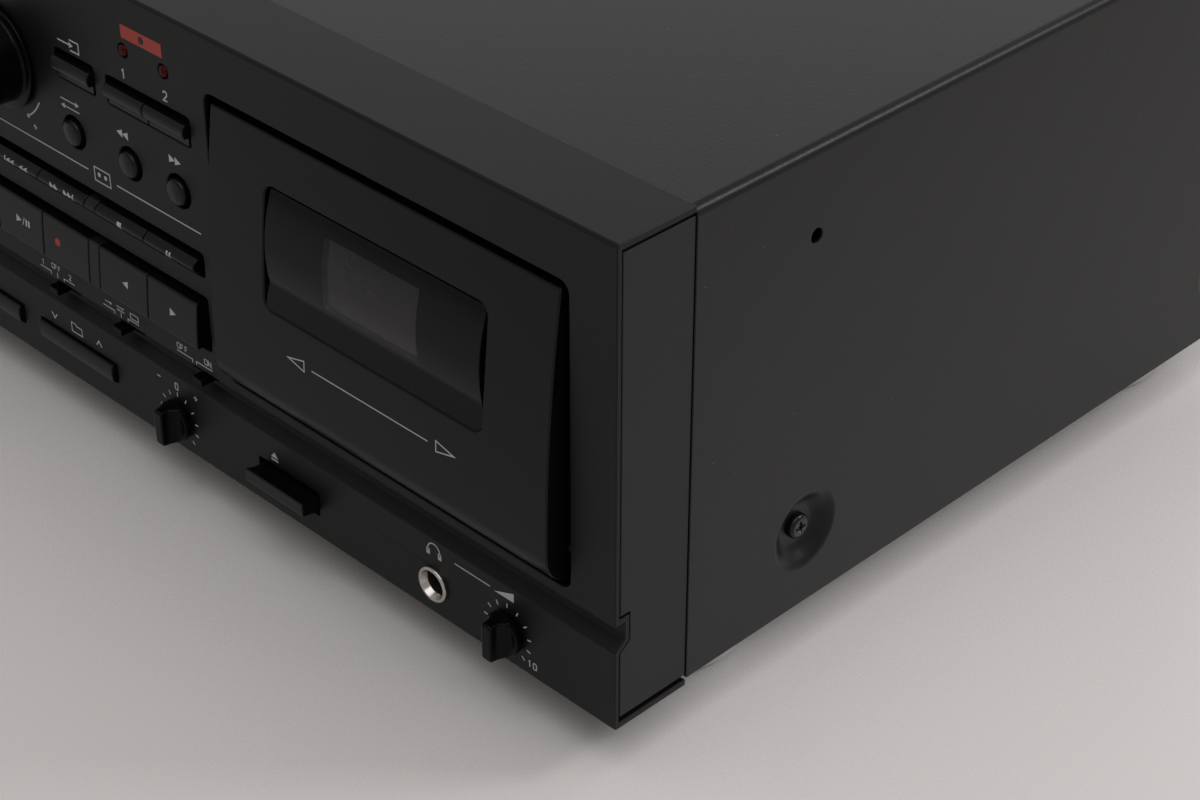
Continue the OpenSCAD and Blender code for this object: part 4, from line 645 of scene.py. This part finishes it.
def line(points, width, closed=False):
    """A band along a path. Each corner is moved along the mean of its two normals by half the width
    over the cosine of half the turn, which keeps both edges parallel to the path."""
    points = np.array(points, float)
    step = np.roll(points, -1, axis=0) - points
    if not closed:
        step[-1] = step[-2]
    along = step / np.linalg.norm(step, axis=1, keepdims=True)
    normal = np.stack([-along[:, 1], along[:, 0]], axis=1)
    before = np.roll(normal, 1, axis=0)
    if not closed:
        before[0] = normal[0]
    mean = normal + before
    mean *= 2 / np.sum(mean ** 2, axis=1, keepdims=True)
    left, right = points + mean * width / 2, points - mean * width / 2
    count = len(points)
    index = np.arange(count)
    after = np.roll(index, -1)
    quads = np.stack([index + count, after + count, after, index], axis=1)
    if closed:
        rims = [index + count, index[::-1]]
    else:
        quads = quads[:-1]
        rims = [np.concatenate([index + count, index[::-1]])]
    return np.vstack([left, right]), quads.tolist(), rims


def follow_face(mesh, depth):
    """Moves each point of a flat sheet back by the depth of the face at the point's height."""
    flat = np.empty(3 * len(mesh.vertices))
    mesh.vertices.foreach_get("co", flat)
    x, y, z = to_panel(flat.reshape(-1, 3)).T
    mesh.vertices.foreach_set("co", from_panel(x, y + depth(z), z).ravel())
    mesh.update()


def sheet_piece(name, points, faces, rims, depth, bend_step, material, body):
    """A closed sheet of ink. Its front is the faces over the drawing points, an ink's thickness out, its
    back is the same faces turned round and just under the surface, and each rim gets a side wall. The
    flat sheet is cut level at every bend step, so that it can follow a face that bends with the height."""
    count = len(points)
    x, z = points.T
    verts = np.vstack([from_panel(x, -INK, z), from_panel(x, INK_ROOT, z)])
    back = [(np.array(face[::-1]) + count).tolist() for face in faces]
    edges = [(rim, np.roll(rim, -1)) for rim in rims]
    walls = [np.stack([rim, rim + count, after + count, after], axis=1) for rim, after in edges]
    mesh = bpy.data.meshes.new(name)
    mesh.from_pydata(verts.tolist(), [], list(faces) + back + np.vstack(walls).tolist())
    if bend_step:
        cut_faces(mesh, 2, np.arange(z.min() + bend_step / 2, z.max(), bend_step))
    follow_face(mesh, depth)
    mesh.materials.append(material)
    piece = bpy.data.objects.new(name, mesh)
    scene.collection.objects.link(piece)
    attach(piece, body)


def print_marks(name, shapes, depth, material, body, bend_step=0.0):
    """All the shapes as one thin inked piece on a face whose depth is a function of z."""
    starts = np.cumsum([0] + [len(points) for points, _, _ in shapes])
    points = np.vstack([points for points, _, _ in shapes])
    faces = [(np.array(face) + start).tolist()
             for (_, group, _), start in zip(shapes, starts) for face in group]
    rims = [rim + start for (_, _, group), start in zip(shapes, starts) for rim in group]
    sheet_piece(name, points, faces, rims, depth, bend_step, material, body)


print("mark shapes ready, ink", INK, "mm")

# %% [markdown]
# Numbers and the two switch words are drawn from a small alphabet of strokes on a box one unit high.

# %% Stroke alphabet and signs
STROKES = {
    "0": [([(0.1, 0), (0.5, 0), (0.6, 0.15), (0.6, 0.85),
            (0.5, 1), (0.1, 1), (0, 0.85), (0, 0.15)], True)],
    "1": [([(0.1, 0.8), (0.35, 1), (0.35, 0)], False)],
    "2": [([(0, 0.8), (0.12, 1), (0.48, 1), (0.6, 0.85), (0.6, 0.65), (0, 0), (0.62, 0)], False)],
    "O": [([(0.12, 0), (0.68, 0), (0.8, 0.15), (0.8, 0.85),
            (0.68, 1), (0.12, 1), (0, 0.85), (0, 0.15)], True)],
    "N": [([(0, 0), (0, 1), (0.7, 0), (0.7, 1)], False)],
    "F": [([(0, 0), (0, 1), (0.6, 1)], False), ([(0.06, 0.52), (0.5, 0.52)], False)],
    "+": [([(0, 0.5), (0.7, 0.5)], False), ([(0.35, 0.15), (0.35, 0.85)], False)],
    "-": [([(0, 0.5), (0.7, 0.5)], False)],
}
LETTER_STEP = 1.05
STROKE_SHARE = 0.17
FINE = 0.3
TICK_START = 225
TICK_TURN = 27
TICK_COUNT = 11
TICK_IN = 7.0
TICK_OUT = 8.3
TICK_WIDTH = 0.36


def written(text, x, z, height):
    """The strokes of each sign of a short text, set out from its lower left corner."""
    shapes = []
    for place, sign in enumerate(text):
        for path, closed in STROKES[sign]:
            spot = np.array(path) * height + [x + place * LETTER_STEP * height, z]
            shapes.append(line(spot, STROKE_SHARE * height, closed))
    return shapes


def arrow(x0, x1, z, size=1.0, width=FINE):
    """A level arrow from x0 to x1."""
    way = np.sign(x1 - x0)
    return [line([(x0, z), (x1 - way * size, z)], width), wedge(x1 - way * size, z, way * size, size)]


def double_wedge(x, z, width, height):
    """Two triangles in a row."""
    return [wedge(x, z, width, height), wedge(x + width, z, width, height)]


def scale_ring(x, z):
    """Eleven ticks round a knob, at equal angles from the lower left over the top to the lower right."""
    angles = np.radians(TICK_START - TICK_TURN * np.arange(TICK_COUNT))
    ways = np.stack([np.cos(angles), np.sin(angles)], axis=1)
    return [line([way * TICK_IN + [x, z], way * TICK_OUT + [x, z]], TICK_WIDTH) for way in ways]


def cassette_sign(x, z):
    """A small cassette: a frame with two hubs."""
    return [line([(x - 3.4, z - 2), (x + 3.4, z - 2), (x + 3.4, z + 2), (x - 3.4, z + 2)], 0.35, True),
            dot(x - 1.4, z + 0.2, 0.65), dot(x + 1.4, z + 0.2, 0.65)]


def folder_sign(x, z):
    """A small folder with its tab."""
    return [line([(x - 2.4, z - 1.4), (x + 2.4, z - 1.4), (x + 2.4, z + 0.9),
                  (x, z + 0.9), (x - 0.5, z + 1.5), (x - 2.4, z + 1.5)], FINE, True)]


def headphone_sign(x, z):
    """A head band over two ear pads."""
    return [line(circle_path(x, z, 2.2, 200, -20, 15), 0.35), bar(x - 2.7, z - 1.7, x - 1.5, z + 0.1),
            bar(x + 1.5, z - 1.7, x + 2.7, z + 0.1)]


print("signs:", "".join(STROKES))

# %% [markdown]
# The panel's own marks follow the layout of the front: a rule over the tape keys, signs over the
# square and round keys, numbers over the record keys, and an arc each way round the jog knob.

# %% Marks on the panel
RULE_Z = 74.2
RULE_WIDTH = 0.36
RULE_SPANS = ((-43, 22.7), (35.2, 70.4))
JOG_MARK_R = 17.5
JOG_MARK_WIDTH = 0.45
JOG_DOT_R = 0.6
JOG_DOT_Z = 80.4
JOG_SIGN_Z = 76.9
JOG_SIGN_HEIGHT = 2.2
SIGN_LINE = 0.4


def jog_mark(start, stop, dot_x, sign, sign_x):
    """One way of the jog knob: an arc round it, a dot at the arc's end, and a plus or minus."""
    arc = line(circle_path(jog_x, jog_z, JOG_MARK_R, start, stop, 12), JOG_MARK_WIDTH)
    return [arc, dot(dot_x, JOG_DOT_Z, JOG_DOT_R)] + written(sign, sign_x, JOG_SIGN_Z, JOG_SIGN_HEIGHT)


panel_shapes = [bar(x0, RULE_Z - RULE_WIDTH / 2, x1, RULE_Z + RULE_WIDTH / 2) for x0, x1 in RULE_SPANS]
panel_shapes += cassette_sign(28.9, RULE_Z)
panel_shapes += double_wedge(42.6, 91.3, -2.4, 2.3) + double_wedge(59.8, 91.9, 2.4, 2.3)
panel_shapes += arrow(15.5, 22.2, 109.5, 1.7, SIGN_LINE)
panel_shapes += [line([(20.8, 108), (24.6, 108), (24.6, 111), (20.8, 111)], SIGN_LINE)]
panel_shapes += arrow(13.6, 21.6, 92.1, 1.5) + arrow(21.6, 13.6, 90.1, 1.5)
panel_shapes += written("1", 42.8, 108.2, 2.5) + written("2", 60, 108.2, 2.5)
panel_shapes += jog_mark(-31, -59, -3.1, "+", -1.2) + jog_mark(211, 239, -20.9, "-", -24)
print("panel shapes so far:", len(panel_shapes))

# %% [markdown]
# The foot of the panel carries the scales of the two small knobs and the signs of the headphone
# jack, its level, the eject button and the folder rocker.

# %% Marks on the panel's foot
knob_xs = [float(panel_box(node)[:, 0].mean()) for node in ("pitch_knob", "level_knob")]
knob_z = float(panel_box("pitch_knob")[:, 2].mean())
for knob_x in knob_xs:
    panel_shapes += scale_ring(knob_x, knob_z)
panel_shapes += written("-", 44.2, 18.8, 2.1) + written("0", 52.1, 18.9, 2.0) + written("+", 60.2, 18.8, 2.1)
panel_shapes += headphone_sign(155.2, 19.7) + [bar(162.8, 19.85, 175.3, 20.15)]
panel_shapes += [plate([(176.8, 19.5), (183.6, 19.5), (183.6, 22.1)])]
panel_shapes += written("10", 188.2, 3.0, 1.8)
panel_shapes += [plate([(92.3, 17.0), (95.1, 17.0), (93.7, 18.7)]), bar(92.3, 16.0, 95.1, 16.5)]
panel_shapes += [line([(-4.4, 18.4), (-3.2, 16.8), (-2, 18.4)], SIGN_LINE),
                 line([(16.4, 16.8), (17.6, 18.4), (18.8, 16.8)], SIGN_LINE)]
panel_shapes += folder_sign(7.3, 17.6)
print("panel shapes so far:", len(panel_shapes))

# %% [markdown]
# Each slide switch has a bracket with a tick for each of its places, and a number, an arrow or a word
# over it. These are the last shapes on the flat panel, so all of them become one inked piece here.

# %% Marks over the slide switches
BRACKET_Z = 32.6
BRACKET_END = 8.0
TICK_Z = 31.6
CENTRE_TICK = 0.6
SWITCH_STEP = 3.0
NOISE_TICK = 0.8


def bracket(tick_x, end_x):
    """A tick up from the slot that turns into a level line."""
    return line([(tick_x, TICK_Z), (tick_x, BRACKET_Z), (end_x, BRACKET_Z)], FINE)


def flat_face(z):
    """The depth of the panel's face, 0 at any height."""
    return 0 * z


switch_xs = [float(panel_box(node)[:, 0].mean()) for node in ("timer_switch", "reverse_switch")]
for switch_x in switch_xs:
    panel_shapes += [bracket(switch_x + side * SWITCH_STEP, switch_x + side * BRACKET_END)
                     for side in (-1, 1)]
    panel_shapes += [bar(switch_x - FINE / 2, TICK_Z, switch_x + FINE / 2, BRACKET_Z + CENTRE_TICK)]
timer_x = switch_xs[0]
panel_shapes += written("OFF", timer_x - 2.4, 34.1, 1.5)
panel_shapes += written("1", timer_x - 7, 33.4, 1.6) + written("2", timer_x + 5.6, 33.4, 1.6)
panel_shapes += arrow(23.2, 26.4, 34.2) + arrow(28.4, 31.8, 34.7, 0.8) + arrow(31.8, 28.4, 33.7, 0.8)
panel_shapes += [line([(34.6, 33.4), (38, 33.4), (38, 35), (34.6, 35)], FINE, True)]
noise_x = float(panel_box("noise_switch")[:, 0].mean()) - SWITCH_STEP
panel_shapes += [bracket(noise_x - NOISE_TICK, noise_x - 7.4), bracket(noise_x + NOISE_TICK, noise_x + 7.6)]
panel_shapes += written("OFF", noise_x - 7.2, 33.5, 1.6) + written("ON", noise_x + 4.4, 33.5, 1.6)
print_marks("panel_marks", panel_shapes, flat_face, PALE_PRINT, "case")
print("panel shapes:", len(panel_shapes))

# %% [markdown]
# The record lamps stand under a red plate with a dark dot. The dot is a second print on the first, so
# its face lies an ink's thickness further out.

# %% Red plate over the record lamps
RED_PLATE_LOW = np.array([44.4, 119.9])
RED_PLATE_HIGH = np.array([61.0, 123.6])
RED_DOT_R = 1.05


def red_plate_face(z):
    """The depth of the red plate's front, an ink's thickness out of the panel."""
    return flat_face(z) - INK


red_plate = [bar(*RED_PLATE_LOW, *RED_PLATE_HIGH)]
red_dot = [dot(*(RED_PLATE_LOW + RED_PLATE_HIGH) / 2, RED_DOT_R)]
print_marks("record_plate", red_plate, flat_face, RED_PRINT, "case")
print_marks("record_plate_dot", red_dot, red_plate_face, MASK_INK, "case")
print("red plate:", (RED_PLATE_HIGH - RED_PLATE_LOW).round(1).tolist(), "mm")

# %% [markdown]
# The door carries two hollow arrow heads joined by a rule, for a tape that plays both ways. They
# follow the door's long curve, so their depth is the door's own formula.

# %% Marks on the door
DOOR_LINE = 0.32
door_shapes = [line([(115.3, 55.9), (115.3, 58.9), (109.2, 57.4)], DOOR_LINE, True),
               line([(163.3, 55.9), (169.6, 57.4), (163.3, 58.9)], DOOR_LINE, True),
               bar(118.2, 57.25, 160.4, 57.55)]
print_marks("door_marks", door_shapes, door_face, PALE_PRINT, "door")
print("door shapes:", len(door_shapes))

# %% [markdown]
# The keys carry their signs themselves, so each print rides on its own key. A play key leans out at
# its foot, and a skip key is a low pillow, so the depth is a straight line plus a parabola. The prints
# are cut level every bend step, so that they bend with their key.

# %% Marks on the keys
PLAY_FACE = (1.9, 2.9, 0.1)
SKIP_FACE = (0.7, 0.4, 1.45)
FLANGE_BELOW = 1.3
FLANGE_ABOVE = 3.1
CAP_EDGE = 0.4


def key_depth(node, face):
    """Depth of a key's face, given as its reach at the top, its reach at the foot and its bulge. With t
    from 0 at the top edge to 1 at the foot edge it is minus the straight line between the two reaches,
    less four times the bulge times t times 1 - t."""
    low, high = panel_box(node)
    top, foot = high[2] - FLANGE_ABOVE - CAP_EDGE, low[2] + FLANGE_BELOW + CAP_EDGE

    def depth(z):
        t = (top - z) / (top - foot)
        return (face[0] - face[1]) * t - face[0] - 4 * face[2] * t * (1 - t)
    return depth


KEY_BEND = 0.15
PLAY_Z = 46.6
SKIP_Z = 63.7
KEY_SIGNS = {
    "play_pause_button": (PLAY_FACE, PALE_PRINT, [
        wedge(-12.1, PLAY_Z, 2.4, 2.2), line([(-9.2, PLAY_Z - 1.2), (-8.4, PLAY_Z + 1.2)], FINE),
        bar(-7.8, PLAY_Z - 1, -7.1, PLAY_Z + 1), bar(-6.6, PLAY_Z - 1, -5.9, PLAY_Z + 1)]),
    "record_button": (PLAY_FACE, RED_PRINT, [dot(7.2, PLAY_Z, 1.2)]),
    "open_close_button": (PLAY_FACE, PALE_PRINT, [
        plate([(-32.3, PLAY_Z - 0.4), (-29.5, PLAY_Z - 0.4), (-30.9, PLAY_Z + 1.4)]),
        bar(-32.3, PLAY_Z - 1.4, -29.5, PLAY_Z - 0.9)]),
    "reverse_play_button": (PLAY_FACE, PALE_PRINT, [wedge(38.7, PLAY_Z - 0.2, -2.4, 2.2)]),
    "forward_play_button": (PLAY_FACE, PALE_PRINT, [wedge(56.9, PLAY_Z - 0.2, 2.4, 2.2)]),
    "skip_back_button": (SKIP_FACE, PALE_PRINT, [bar(-15.1, SKIP_Z - 0.9, -14.6, SKIP_Z + 0.9)]
                         + double_wedge(-10.7, SKIP_Z, -1.9, 1.8) + double_wedge(-4.6, SKIP_Z, -1.9, 1.8)),
    "skip_forward_button": (SKIP_FACE, PALE_PRINT, double_wedge(6.0, SKIP_Z, 1.9, 1.8)
                            + double_wedge(12.2, SKIP_Z, 1.9, 1.8)
                            + [bar(16.1, SKIP_Z - 0.9, 16.6, SKIP_Z + 0.9)]),
    "tape_stop_button": (SKIP_FACE, PALE_PRINT, [bar(36.0, SKIP_Z - 0.9, 37.8, SKIP_Z + 0.9)]),
    "tape_pause_button": (SKIP_FACE, PALE_PRINT, [bar(57.0, SKIP_Z - 0.9, 57.6, SKIP_Z + 0.9),
                                                  bar(58.2, SKIP_Z - 0.9, 58.8, SKIP_Z + 0.9)]),
}
for node, (face, ink, shapes) in KEY_SIGNS.items():
    print_marks(node + "_sign", shapes, key_depth(node, face), ink, BODY_OF[node], KEY_BEND)
print("key signs:", len(KEY_SIGNS))

# %% [markdown]
# The floor is a pale, slightly glossy table that goes on past the picture. The light is a large soft
# panel above on the right, a long low panel far behind on the left, which is what the top mirrors, a
# small one behind on the right that draws the bright line along the cover's bend, and an even grey
# world. So the front is lit mostly by the table, and keeps its black.

# %% Floor and light
FLOOR_HALF = 4.0
LIGHT_TINT = (1.0, 0.965, 0.972)
WORLD_GREY = grey(0.8, 0.01)
WORLD_STRENGTH = 0.5
floor_mesh = bpy.data.meshes.new("floor")
corners = np.array([[-1, -1, 0], [1, -1, 0], [1, 1, 0], [-1, 1, 0]], float) * FLOOR_HALF
floor_mesh.from_pydata(corners.tolist(), [], [(0, 1, 2, 3)])
floor = bpy.data.objects.new("floor", floor_mesh)
scene.collection.objects.link(floor)
floor_mesh.materials.append(finish("pale_table", grey(0.62, 0.02), grey(0.66, 0.02), (0.24, 0.3), patch=3.0))


def soft_light(name, place, target, width, height, power):
    """A rectangular area lamp at a place in metres that faces a target point."""
    lamp = bpy.data.lights.new(name, "AREA")
    lamp.shape = "RECTANGLE"
    lamp.size = width
    lamp.size_y = height
    lamp.energy = power
    lamp.color = LIGHT_TINT
    thing = bpy.data.objects.new(name, lamp)
    away = np.array(place, float) - np.array(target, float)
    away /= np.linalg.norm(away)
    azimuth = np.arctan2(away[0], -away[1])
    thing.matrix_world = camera_matrix(azimuth, np.arcsin(away[2]), 0.0, place)
    scene.collection.objects.link(thing)


soft_light("key_panel", (0.75, -0.4, 2.2), (0.15, -0.1, 0.05), 2.4, 2.4, 28)
soft_light("edge_panel", (1.45, 1.4, 1.45), (0.2, 0.1, 0.1), 0.6, 0.5, 14)
soft_light("back_panel", (-0.6, 2.0, 0.9), (0.2, 0.1, 0.1), 4.4, 1.6, 12)
world = bpy.data.worlds.new("studio")
world.use_nodes = True
background = world.node_tree.nodes["Background"]
background.inputs["Color"].default_value = WORLD_GREY
background.inputs["Strength"].default_value = WORLD_STRENGTH
scene.world = world
